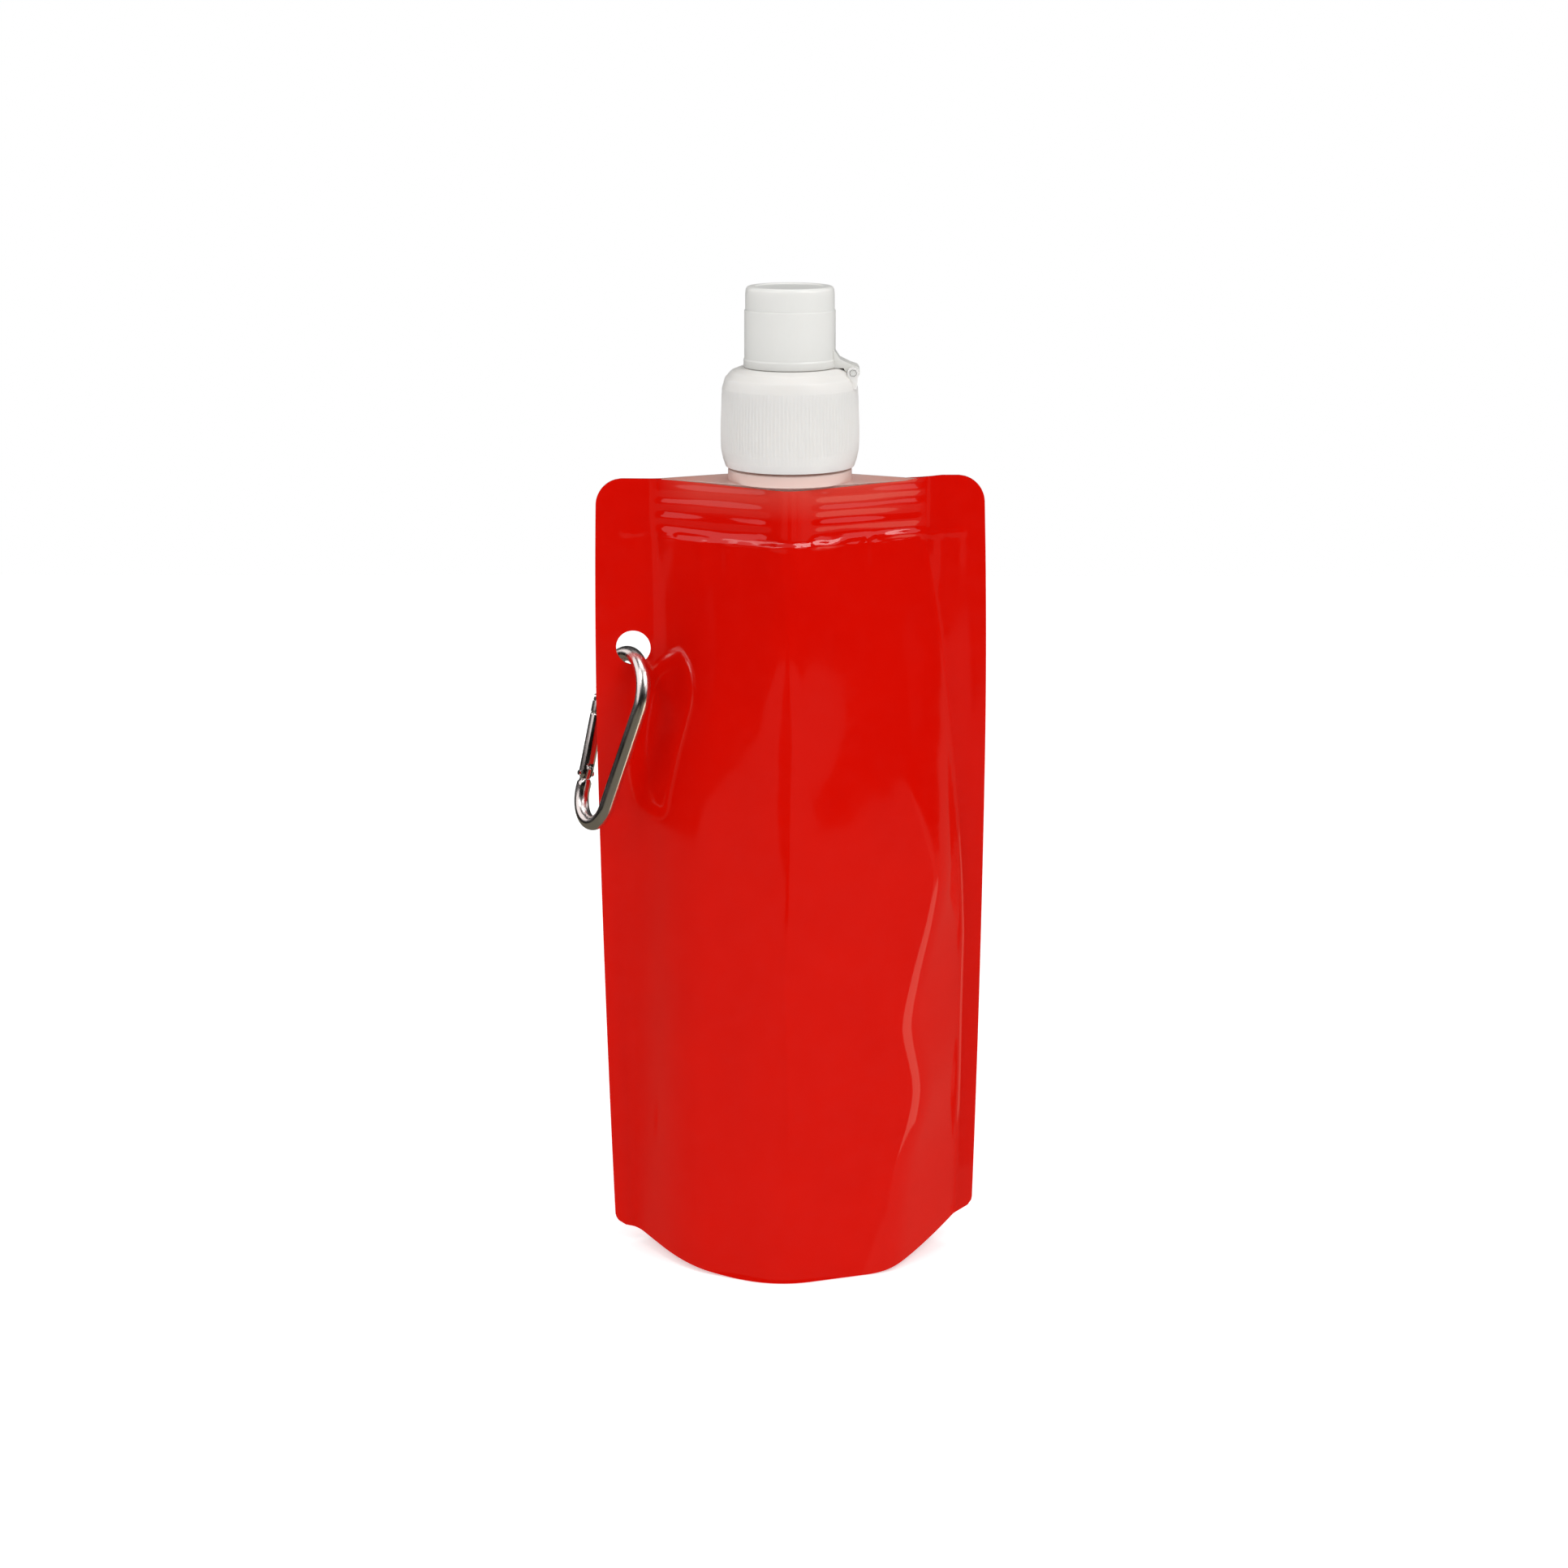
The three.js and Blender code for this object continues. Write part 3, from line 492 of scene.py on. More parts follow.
# Where a panel's cross-section turns, from left to right, how deep it is there and over how much it
# is rounded: [base, middle, weld].
FRONT = {
    "x": [[-47, -46, -36], [-28.5, -28, -18.5], [-3, -2, 0], [29, 33, 18.5], [47, 46, 36]],
    "depth": [[0, 0, 0], [19.2, 15, 8], [29.4, 23, 16.3], [19.4, 12.5, 8], [0, 0, 0]],
    "round": [[1.5, 6, 1], [7, 7, 6], [9, 10, 3], [2.5, 2.5, 5], [0.5, 0.5, 0.5]],
    "crease": True,
}
BACK = {
    "x": [[-45, -44, -36], [-29, -27, -18.5], [0, 0, 0], [29, 27, 18.5], [45, 44, 36]],
    "depth": [[0, 0, 0], [20.8, 15.5, 8], [29.4, 23, 16.3], [20.8, 15.5, 8], [0, 0, 0]],
    "round": [[3, 4, 1], [7, 7, 5], [9, 10, 3], [2.5, 7, 5], [3, 4, 2]],
    "crease": False,
}
# The front's right crease wanders: heights, how far it is off its smooth line, and its rounding.
CREASE_Z = [0, 22, 32, 42, 52, 60, 70, 84, 98, 112, 126, 142, 160, 203]
CREASE_X = [0, -1.6, -1.4, 1.2, 2.6, 0.4, -3.0, 0.0, 4.4, 8.5, 8.0, 5.5, 2.5, 0]
CREASE_ROUND = [3, 3, 3, 3.2, 3.2, 3, 2.8, 2.8, 2.6, 3, 5, 7, 8, 5]
CREASE_FALL = 0.35  # how much depth the crease loses per millimetre that it is further out


def edge_at(z):
    """Half the pouch's width at height z, before its corners are rounded."""
    low = EDGE_MID + (EDGE_BASE - EDGE_MID) * (1 - z / EDGE_MID_Z) ** 2
    high = EDGE_MID + (EDGE_TOP - EDGE_MID) * ((z - EDGE_MID_Z) / (POUCH_TOP - EDGE_MID_Z)) ** 2
    return np.where(z < EDGE_MID_Z, low, high)


def left_edge_at(z):
    return LEFT_TAPER * (1 - z / POUCH_TOP) - edge_at(z)


def base_at(x):
    """The base edge curves up to the corners."""
    curves = []
    for lift, flat, power in (LEFT_BASE, RIGHT_BASE):
        curves.append(lift * np.maximum(0, (np.abs(x) - flat) / (EDGE_BASE - flat)) ** power)
    return np.where(x < 0, *curves)


def top_at(x):
    """The film's top edge dips over the spout, and its right tab stands a little higher."""
    tab = RIGHT_TAB_LIFT * fade(x - RIGHT_TAB_FROM, RIGHT_TAB_RISE)
    return POUCH_TOP - TOP_DIP * bell(x, TOP_DIP_WIDTH) + tab


def left_seal_at(z):
    """The left seal's inner edge: wider at the clip's hole and from there up to the weld."""
    plain = left_edge_at(z) + SEAL_W
    return plain + (PATCH_X - plain) * bell(np.minimum(z - HOLE_Z, 0), PATCH_HALF_Z)


def smooth_line(z, heights, values):
    """Values joined over height by a line whose corners are rounded."""
    near = [np.interp(z + dz, heights, values) for dz in (-6, -3, 0, 3, 6)]
    return sum(w * v for w, v in zip((0.1, 0.2, 0.4, 0.2, 0.1), near))


def depth_at(panel, x, z):
    """How far a panel stands off the pouch's middle plane."""
    z = np.minimum(z, WELD_Z)
    knots = [along_height(z, row) for row in panel["x"]]
    depths = [along_height(z, row) for row in panel["depth"]]
    rounds = [along_height(z, row) for row in panel["round"]]
    if panel["crease"]:
        rounds[3] = smooth_line(z, CREASE_Z, CREASE_ROUND)
        shift = smooth_line(z, CREASE_Z, CREASE_X)
        knots[3] = knots[3] + shift
        depths[3] = depths[3] - CREASE_FALL * shift
    knots[0] = np.maximum(knots[0], left_seal_at(z) + rounds[0])
    knots[4] = np.minimum(knots[4], edge_at(z) - SEAL_W - rounds[4])
    depth, slope = 0, 0
    for i, knot in enumerate(knots):
        last = i == len(knots) - 1
        after = 0 if last else (depths[i + 1] - depths[i]) / (knots[i + 1] - knot)
        depth = depth + (after - slope) * ramp(x - knot, rounds[i])
        slope = after
    return np.maximum(0, depth)


def half_width(z, left):
    """From the spout axis to the pouch's edge, with its corners rounded into the sloping base."""
    side = -1 if left else 1
    edge = -left_edge_at(z) if left else edge_at(z)
    corner = EDGE_BASE - (LEFT_TAPER if left else 0)
    climb = base_at(side * corner) - base_at(side * (corner - BASE_CORNER_R))
    slope = math.atan(climb / BASE_CORNER_R)
    foot = float(base_at(side * (corner - BASE_CORNER_R * (1 - math.sin(slope)))))
    over = np.clip(z - (float(top_at(side * EDGE_TOP)) - TOP_CORNER_R), 0, TOP_CORNER_R)
    reach = BASE_CORNER_R * math.cos(slope)
    under = np.clip(foot + reach - z, 0, reach)
    top_cut = TOP_CORNER_R - np.sqrt(TOP_CORNER_R**2 - over**2)
    base_cut = BASE_CORNER_R - np.sqrt(BASE_CORNER_R**2 - under**2)
    return edge - top_cut - base_cut


def crease(x, z, path, width):
    """A ridge along a row of (x, z) points, 1 on the row and fading towards its two ends."""
    lift = np.zeros_like(x)
    lengths = [math.dist(a, b) for a, b in zip(path, path[1:])]
    before = 0
    for (ax, az), (bx, bz), length in zip(path, path[1:], lengths):
        t = np.clip(((x - ax) * (bx - ax) + (z - az) * (bz - az)) / length**2, 0, 1)
        away = np.hypot(x - ax - t * (bx - ax), z - az - t * (bz - az))
        share = (before + t * length) / sum(lengths)
        lift = np.maximum(lift, fade(share * (1 - share), 0.1) * np.exp(-away / width))
        before += length
    return lift


def waves(x, z, seed, count, shortest, longest, height):
    """Gentle unevenness: a sum of random plane waves."""
    random = np.random.default_rng(seed)
    total = np.zeros_like(x)
    for _ in range(count):
        length = random.uniform(shortest, longest)
        angle = random.uniform(-0.9, 0.9)
        phase = random.uniform(0, 2 * math.pi)
        along = x * math.cos(angle) + z * math.sin(angle)
        total += np.sin(2 * math.pi * along / length + phase) * length / longest
    return height * total / math.sqrt(count)


WELD_RIBS = 4
WELD_RIB_PITCH = (POUCH_TOP - WELD_Z - 1.5) / (WELD_RIBS - 0.5)
# The weld's lower edge shows in pieces: the middle and half length of each, seen from the front, and
# how far it stands out as a share of BEAD_HEIGHT.
BEAD_HEIGHT = 0.75
WELD_BEADS = [
    (-41, 3, 0.25), (-32, 2, 0.25), (-14, 9, 0.5), (-2, 2.5, 0.4), (8, 2.2, 0.8), (12.5, 2.5, 0.7),
    (17, 2.5, 0.5), (20.5, 1.2, 0.6), (29, 5, 0.7), (38, 2.5, 0.55), (43.5, 2.2, 0.5),
]


def rib_groove(z):
    """1 in the grooves between the weld's ribs, 0 on the ribs."""
    phase = (z - WELD_Z - 0.8) / WELD_RIB_PITCH
    return 0.5 - 0.5 * np.cos(2 * math.pi * phase)


def weld_beads(x, z, side):
    """The uneven bead of film along the weld's lower edge, lower in the middle of the front."""
    line = WELD_Z + 0.6 - 0.9 * bell(x + 3, 14) + 0.25 * np.sin(x * 0.47)
    total = np.zeros_like(x)
    for middle, half, share in WELD_BEADS:
        middle = middle if side < 0 else -middle
        total += share * np.exp(-(((x - middle) / half) ** 4))
    return BEAD_HEIGHT * total * bell(z - line, 0.9)


# How far the film stands off its smooth shape, in millimetres.
RIB_DEPTH = 0.55  # between the weld's ribs
BOAT_END = 0.12  # over the two ends of the spout's boat
BULGE = 0.35  # just under the weld
LONG_WAVES = 0.28
SHORT_WAVES = 0.04
PUCKERS = 0.22
SWELL = 1  # high on the front's middle
LOBE = 0.3  # half way up the front's right
FOLD = 0.35  # down the front's middle
FOLD_LINE = [(-1, 195), (1, 150), (-1, 90), (0, 30)]
BASE_FADE = 12
SEAL_FADE = 9


def weld_relief(side, x, z, boat):
    """The grooves between the ribs, patchy and absent in the middle, and the boat's two ends."""
    off_centre = fade(np.abs(x - 0.5) - 5, 3)
    patchy = 0.6 + 0.4 * np.sin(x * 0.19 + 1.3 * side) * np.sin(z * 0.45 + x * 0.05)
    ribs = RIB_DEPTH * boat * rib_groove(z) * off_centre * patchy
    return BOAT_END * bell(np.abs(x) - BOAT_HALF_L - 0.8, 0.5) - ribs


def relief(side, x, z):
    """The film's unevenness on top of the panel's own shape, outwards."""
    weld = fade(z - WELD_Z + 0.6, 1.2)
    boat = 1 / (1 + np.exp((np.abs(x) - BOAT_HALF_L + 0.8) / 0.35))
    rise = weld * weld_relief(side, x, z, boat) + weld_beads(x, z, side)
    rise += BULGE * (1 - weld) * bell(z - WELD_Z, 8) * boat
    # The rest fades out at the base, the weld and the two side seals.
    free = fade(z - base_at(x), BASE_FADE) * (1 - weld)
    free *= fade(x - left_seal_at(z), SEAL_FADE) * fade(edge_at(z) - SEAL_W - x, SEAL_FADE)
    rise += free * waves(x, z, seed=3 + side, count=7, shortest=30, longest=75, height=LONG_WAVES)
    rise += free * waves(x, z, seed=11 + side, count=9, shortest=9, longest=20, height=SHORT_WAVES)
    puckers = bell(z - WELD_Z + 4, 7) * np.clip(np.sin(x * 0.72 + 0.6 * np.sin(x * 0.31)), 0, 1)
    rise += PUCKERS * free * puckers
    if side < 0:
        swell = bell(x - 0.5, 14) * bell(z - 176, 25)
        lobe = bell(x - 24, 10) * bell(z - 118, 22)
        rise += free * (SWELL * swell + LOBE * lobe + FOLD * crease(x, z, FOLD_LINE, width=3))
    return rise


# The top tenth of the film, where the weld is, has the last 28% of the rows.
FINE_ROWS_FROM = 0.72
FINE_ROWS_ABOVE = 0.9


def panel_grid(panel, side, columns=150, rows=290):
    """The panel's outer and inner faces as grids, and which cells are film and not hole."""
    u = np.linspace(-1, 1, columns)[None, :].repeat(rows, 0)
    v = np.interp(np.linspace(0, 1, rows), [0, FINE_ROWS_FROM, 1], [0, FINE_ROWS_ABOVE, 1])
    v = v[:, None].repeat(columns, 1)
    z = v * POUCH_TOP
    for _ in range(6):
        x = u * np.where(u < 0, half_width(z, True), half_width(z, False))
        base = base_at(x)
        z = base + v * (top_at(x) - base)
    away = np.hypot(x - HOLE_X, z - HOLE_Z)
    corners = [away[:-1, :-1], away[1:, :-1], away[:-1, 1:], away[1:, 1:]]
    keep = np.min(corners, axis=0) > HOLE_R
    on_rim = np.zeros_like(away, bool)
    for dr, dc in ((0, 0), (1, 0), (0, 1), (1, 1)):
        on_rim[dr : rows - 1 + dr, dc : columns - 1 + dc] |= ~keep
    snap = on_rim & (away > HOLE_R)
    x = np.where(snap, HOLE_X + (x - HOLE_X) * HOLE_R / np.maximum(away, 1e-6), x)
    z = np.where(snap, HOLE_Z + (z - HOLE_Z) * HOLE_R / np.maximum(away, 1e-6), z)
    depth = depth_at(panel, x, z) + relief(side, x, z)
    outer = np.stack([x, side * (np.maximum(depth, 0) + FILM_OUT), z], axis=2)
    inner = np.stack([x, side * (np.maximum(depth, 0) + FILM_IN), z], axis=2)
    return outer, inner, keep


def bend_film(obj):
    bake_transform(obj)


def make_film(obj, side, panel_body, *nodes):
    """Paints a sheet, bakes its placement into its points and lets it stand for its CAD nodes."""
    paint(obj, FILM)
    bend_film(obj)
    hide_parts(*nodes)


for name, panel, side, body, nodes in (
    ("front_panel_film", FRONT, -1, "front_panel", ["front_film", "top_weld_front", "left_side_seal"]),
    ("back_panel_film", BACK, 1, "back_panel", ["back_film", "top_weld_back", "right_side_seal"]),
):
    make_film(shell(name, *panel_grid(panel, side)), side, body, *nodes)

# ---- Bottom gusset -------------------------------------------------------------------------------
GUSSET_SKIRT = 5
GUSSET_CREST = 20
GUSSET_HALF_L = 43
GUSSET_FULL_REACH = 15.5  # the crest is lower where the panel stands off less than this
GUSSET_THICK = 0.3
GUSSET_GAP = 0.15  # between the leaf and the panel
GUSSET_FOLD = 0.05  # between the crest and the pouch's middle plane
GUSSET_LEAF_END = 1.3  # v is 0 at the crest, 1 at the weld line and this at the foot


def gusset_grid(panel, side, columns=110, rows=26):
    """One leaf, from the crest fold down to the weld line and on down the panel to the foot."""
    u = np.linspace(-1, 1, columns)[None, :].repeat(rows, 0)
    v = np.linspace(0, GUSSET_LEAF_END, rows)[:, None].repeat(columns, 1)
    x = u * GUSSET_HALF_L
    weld = base_at(x) + GUSSET_SKIRT
    reach = np.maximum(0.6, depth_at(panel, x, weld) + FILM_IN - GUSSET_THICK - GUSSET_GAP)
    arch = np.minimum(v, 1)
    crest = (GUSSET_CREST - GUSSET_SKIRT) * np.minimum(1, reach / GUSSET_FULL_REACH)
    y = GUSSET_FOLD + (reach - GUSSET_FOLD) * arch
    z = weld + crest * (1 - arch**2) + 0.35 * bell(arch - 0.6, 0.25) * np.sin(x * 0.55)
    z = z - fade(v - 1, GUSSET_LEAF_END - 1) * (GUSSET_SKIRT - 0.4)
    outer = np.stack([x, side * (y + GUSSET_THICK * (v > 1)), z], axis=2)
    inner = np.stack([x, side * y, z + GUSSET_THICK * (v <= 1)], axis=2)
    return outer, inner, np.ones((rows - 1, columns - 1), bool)


for leaf, panel, side, body, node in (
    ("gusset_leaf_front", FRONT, -1, "front_panel", "gusset_front_leaf"),
    ("gusset_leaf_back", BACK, 1, "back_panel", "gusset_back_leaf"),
):
    make_film(shell(leaf, *gusset_grid(panel, side)), side, body, node)

# ---- Spout fitment -------------------------------------------------------------------------------
NECK_R = 14.2
NECK_BORE_R = 11.5
NECK_TOP = 240
COLLAR_R = 16.3
COLLAR_TOP = POUCH_TOP + 2.9
THREAD_PITCH = 4
THREAD_DEPTH = 1.6
THREAD_TURNS = 1.6
THREAD_SUNK = 0.35
NECK_THREAD_Z = 227
CAP_BORE_R = 16.4
BOAT_TIP = 1.2  # the boat ends this much inside its weld
BOAT_TIP_HALF_T = 0.4
BOAT_INSET = 0.2  # from the panel's smooth shape
BOAT_RIB_DEPTH = 0.6
BOAT_RIM = 0.2


def thread(name, wall, crest, start_z):
    """One thread ridge, sunk a little in its wall, fading in and out."""
    steps_per_turn = 48
    steps = round(THREAD_TURNS * steps_per_turn)
    outwards = math.copysign(1, crest - wall)
    points = []
    for k in range(steps + 1):
        angle = 2 * math.pi * k / steps_per_turn
        full = min(1, min(k, steps - k) / 8 + 0.08)
        z = start_z + THREAD_PITCH * k / steps_per_turn
        top = wall + (crest - wall) * full
        root = wall - outwards * THREAD_SUNK
        section = [(root, -0.75), (top, -0.45), (top + outwards * 0.05, 0), (top, 0.45), (root, 0.75)]
        points += [(r * math.cos(angle), r * math.sin(angle), z + dz) for r, dz in section]
    return mesh_object(name, put(points), tube_faces(steps + 1, len(section)))


def boat():
    """The weld base: a rhombus in plan, with ribs that the film is welded to."""
    x = np.linspace(-1, 1, 41) * (BOAT_HALF_L - BOAT_TIP)
    depth = depth_at(BACK, x, np.full_like(x, WELD_Z)) - BOAT_INSET
    rings = []
    for z in np.linspace(WELD_Z + 0.5, POUCH_TOP, 41):
        groove = rib_groove(z) if z < POUCH_TOP - BOAT_RIM else 0
        half = np.maximum(BOAT_TIP_HALF_T, depth - BOAT_RIB_DEPTH * groove)
        front = np.column_stack([x, -half, np.full_like(x, z)])
        back = np.column_stack([x, half, np.full_like(x, z)])[::-1]
        rings.append(np.vstack([front, back]))
    return mesh_object("spout_moulding", put(np.vstack(rings)), tube_faces(len(rings), len(rings[0])))


def spout():
    neck = lathe("neck", [
        (NECK_BORE_R, WELD_Z + 0.2, 0.4), (NECK_R, WELD_Z + 0.2, 0.4), (NECK_R, POUCH_TOP - 0.1, 0),
        (COLLAR_R, POUCH_TOP - 0.1, 0.2), (COLLAR_R, COLLAR_TOP, 0.5), (NECK_R, COLLAR_TOP + 0.6, 0.4),
        (NECK_R, NECK_TOP, 0.7), (NECK_BORE_R, NECK_TOP, 0.5),
    ], 128)
    bore = bar(point(0, 0, WELD_Z - 10), point(0, 0, NECK_TOP + 10), (NECK_BORE_R + 0.02) * MM, 128)
    body = cut(join(boat(), neck), bore)
    return join(body, thread("neck_thread", NECK_R, NECK_R + THREAD_DEPTH, NECK_THREAD_Z))


def add_piece(obj, material, body, slot, *nodes):
    """Paints a piece, rides it on its body and lets it stand for its CAD nodes."""
    paint(obj, material)
    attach(obj, body)
    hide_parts(*nodes)
    return obj


add_piece(spout(), SPOUT_PLASTIC, "pouch_frame", "spout_plastic", "spout_fitment")

# ---- Cap liner, cap, nozzle ----------------------------------------------------------------------
LINER_Z = 240.3
LINER_H = 1.4
CAP_TOP = 247.3
POST_R = 7
POST_BORE_R = 4.6
POST_TOP = 257.5
PIN_R = 1.8
PIN_TOP = 261.8
SPOKES = 3
SPOKE_HALF_T = 0.6
SPOKE_H = 1.6
SNAP_RING_IN = 9.7
SNAP_RING_OUT = 10.45
PLATE = LINER_Z + LINER_H + 0.3
FINE_RIBS = 110
FINE_RIB_DEPTH = 0.16
FINE_RIBS_FROM_R = 17.2
FINE_RIBS_LOW = 3.2
FINE_RIBS_HIGH = 21
LUG_R = 1.5
LUG_IN = 4.4
LUG_OUT = 6.4
TRUNNION_R = 0.8

liner = lathe("sealing_liner", [
    (NECK_BORE_R - 0.5, LINER_Z, 0.2), (CAP_BORE_R - 1.6, LINER_Z, 0.2),
    (CAP_BORE_R - 1.6, LINER_Z + LINER_H, 0.2), (NECK_BORE_R - 0.5, LINER_Z + LINER_H, 0.2),
], 96)
add_piece(liner, LINER_FOAM, "liner", "liner_foam", "cap_liner")


def on_hinge(y):
    """A point on the dust cover's hinge line, in metres."""
    return point(HINGE[0], y, HINGE[2])


def cap_ribs(angle, r, z):
    """Fine vertical ribs on the skirt's outside."""
    if r < FINE_RIBS_FROM_R:
        return 0
    height = z - CAP_BASE
    full = fade(height - FINE_RIBS_LOW, 1.5) * fade(FINE_RIBS_HIGH - height, 2)
    return -FINE_RIB_DEPTH * full * (0.5 - 0.5 * math.cos(FINE_RIBS * angle))


def screw_cap():
    skirt = [(r, CAP_BASE + h, fillet) for r, h, fillet in (
        (CAP_BORE_R, 0, 0.1), (CAP_BORE_R + 0.5, 0, 0.2), (17.6, 2.0, 0.8), (18.1, 4.5, 1.5), (18.15, 5.5, 0),
        (18.2, 7.5, 0), (18.2, 9.5, 0), (18.15, 12, 0), (18.0, 15, 0), (17.9, 18, 0), (17.75, 20.4, 1),
        (17.0, 23.0, 1.2), (15.4, 24.8, 1.0),
    )]
    shell_of_cap = lathe("threaded_cap", skirt + [
        (13.2, CAP_TOP, 0.4), (POST_R - 1, CAP_TOP, 0), (POST_R - 1, PLATE, 0), (CAP_BORE_R, PLATE, 0.3),
    ], FINE_RIBS * 4, cap_ribs)
    post = lathe("post", [
        (POST_BORE_R, PLATE, 0), (POST_R, PLATE, 0), (POST_R, POST_TOP, 0.7), (POST_BORE_R, POST_TOP, 0.2),
    ], 96)
    snap_ring = lathe("ring", [
        (SNAP_RING_IN, CAP_TOP - 0.5, 0), (SNAP_RING_OUT, CAP_TOP - 0.5, 0),
        (SNAP_RING_OUT, CAP_TOP + 2, 0.3), (SNAP_RING_IN, CAP_TOP + 2, 0.3),
    ], 96)
    pin = lathe("pin", [(0, PLATE, 0), (PIN_R, PLATE, 0), (PIN_R, PIN_TOP, 0.6), (0, PIN_TOP, 0)], 48)
    spokes = []
    for i in range(SPOKES):
        angle = (i + 0.5) / SPOKES * 2 * math.pi
        along = np.array([math.cos(angle), math.sin(angle)])
        across = np.array([-along[1], along[0]]) * SPOKE_HALF_T
        far = along * (POST_BORE_R + 0.8)
        outline = [-across, far - across, far + across, across]
        spokes.append(prism("spoke", outline, "z", PLATE, PLATE + SPOKE_H))
    lugs = []
    for side in (-1, 1):
        ends = sorted((side * LUG_IN, side * LUG_OUT))
        x, z = HINGE[0], HINGE[2]
        arc = [(x + LUG_R * math.cos(t), z + LUG_R * math.sin(t)) for t in np.linspace(0, math.pi, 17)]
        lugs.append(prism("lug", arc + [(x - LUG_R, CAP_TOP - 5), (x + 0.9, CAP_TOP - 5)], "y", *ends))
    thread_z = NECK_THREAD_Z + THREAD_PITCH / 2
    inner_thread = thread("cap_thread", CAP_BORE_R, CAP_BORE_R - THREAD_DEPTH, thread_z)
    cap = join(shell_of_cap, post, snap_ring, pin, *spokes, *lugs, inner_thread)
    pocket = bar(on_hinge(-LUG_IN), on_hinge(LUG_IN), (LUG_R + 0.6) * MM)
    bores = bar(on_hinge(-LUG_OUT - 1), on_hinge(LUG_OUT + 1), (TRUNNION_R + 0.12) * MM)
    return cut(cap, pocket, bores)


add_piece(screw_cap(), CAP_PLASTIC, "cap", "cap_plastic", "screw_cap")

NOZZLE_BASE = 249.9
NOZZLE_TOP = 262.4
nozzle = lathe("drinking_nozzle", [
    (POST_R + 0.15, NOZZLE_BASE, 0.2), (9.6, NOZZLE_BASE, 0.3), (9.8, NOZZLE_BASE + 1.2, 0.5),
    (9.1, NOZZLE_BASE + 2, 0.4), (8.2, NOZZLE_BASE + 7.6, 0.8), (7.2, NOZZLE_BASE + 9.2, 0.8),
    (5.6, NOZZLE_BASE + 10.4, 0.5), (5.9, NOZZLE_BASE + 11.4, 0.4), (5.3, NOZZLE_TOP, 0.4),
    (PIN_R + 0.25, NOZZLE_TOP, 0.3), (PIN_R + 0.25, NOZZLE_TOP - 3, 0), (POST_R - 1.2, POST_TOP + 0.4, 0),
    (POST_R + 0.15, POST_TOP - 0.2, 0),
], 96)
add_piece(nozzle, CAP_PLASTIC, "nozzle", "cap_plastic", "pull_nozzle")

# ---- Dust cover ----------------------------------------------------------------------------------
COVER_R = 11.85
COVER_WALL = 1.1
COVER_BASE = 247.45
COVER_STEP = 6.2  # from the top down to where the cup is a little narrower
COVER_HUB_R = 1.8
EAR_H = 4.6
HINGE_PLAY = 0.35


def dust_cover():
    inner = COVER_R - COVER_WALL
    ceiling = COVER_TOP - COVER_WALL
    step = COVER_TOP - COVER_STEP
    cup = lathe("hinged_cover", [
        (inner, COVER_BASE, 0.1), (COVER_R + 0.25, COVER_BASE, 0.2), (COVER_R + 0.25, COVER_BASE + 1.9, 0.3),
        (COVER_R + 0.05, COVER_BASE + 2.3, 0.2), (COVER_R, step, 0.15), (COVER_R - 0.25, step + 0.3, 0.15),
        (COVER_R - 0.25, step + 4, 0), (COVER_R - 0.45, COVER_TOP, 1.3), (9.2, COVER_TOP, 0.2),
        (9.0, COVER_TOP - 0.25, 0.2), (0, COVER_TOP - 0.25, 0), (0, ceiling, 0), (inner - 0.4, ceiling, 0.8),
    ], 128)
    x, z = HINGE[0], HINGE[2]
    hub = COVER_HUB_R
    turn = [(x + hub * math.cos(t), z + hub * math.sin(t)) for t in np.linspace(math.pi, 2.3 * math.pi, 33)]
    ear = [
        (inner + 0.5, COVER_BASE), (x - hub - 0.7, COVER_BASE), *turn,
        (x - 0.6, z + hub + 0.2), (COVER_R + 1.2, COVER_BASE + 2.3), (COVER_R + 0.2, COVER_BASE + 3.8),
        (COVER_R - 0.3, COVER_BASE + EAR_H), (inner + 0.5, COVER_BASE + EAR_H),
    ]
    web = prism("web", ear, "y", HINGE_PLAY - LUG_IN, LUG_IN - HINGE_PLAY)
    trunnion = bar(on_hinge(0.2 - LUG_OUT), on_hinge(LUG_OUT - 0.2), TRUNNION_R * MM)
    return join(cup, web, trunnion)


add_piece(dust_cover(), COVER_PLASTIC, "cover", "cover_plastic", "dust_cover")

# ---- Carabiner -----------------------------------------------------------------------------------
# Drawn in its own plane: a across, b down from the hanging point, w out of the plane.
ROD_R = 2
LOOP_R = 11
FOOT_R = 7.6
FOOT_A = 1  # the middle of the foot's bend
FOOT_B = 40.2
TONGUE_HALF_T = 0.85  # the rod's flattened ends
TONGUE_HALF_W = 1.7
GATE_R = 1.95
RIVET = (-7.3, 37)
RIVET_R = 0.8
LATCH = (-10.8, 16.6)
LATCH_R = 0.7
TILT = math.atan2(-GATE_AXIS.z, GATE_AXIS.x)
LOOP_UP = Vector((math.sin(TILT), 0, math.cos(TILT)))
LOOP_ACROSS = GATE_AXIS.cross(LOOP_UP)


def in_loop(a, b, w=0):
    """A point of the carabiner, in metres."""
    return HANG + (LOOP_ACROSS * a - LOOP_UP * b + GATE_AXIS * w) * MM


def pin_bore(place, radius):
    """A tool through the whole clip at a pin's place."""
    return bar(in_loop(*place, -3), in_loop(*place, 3), radius * MM)


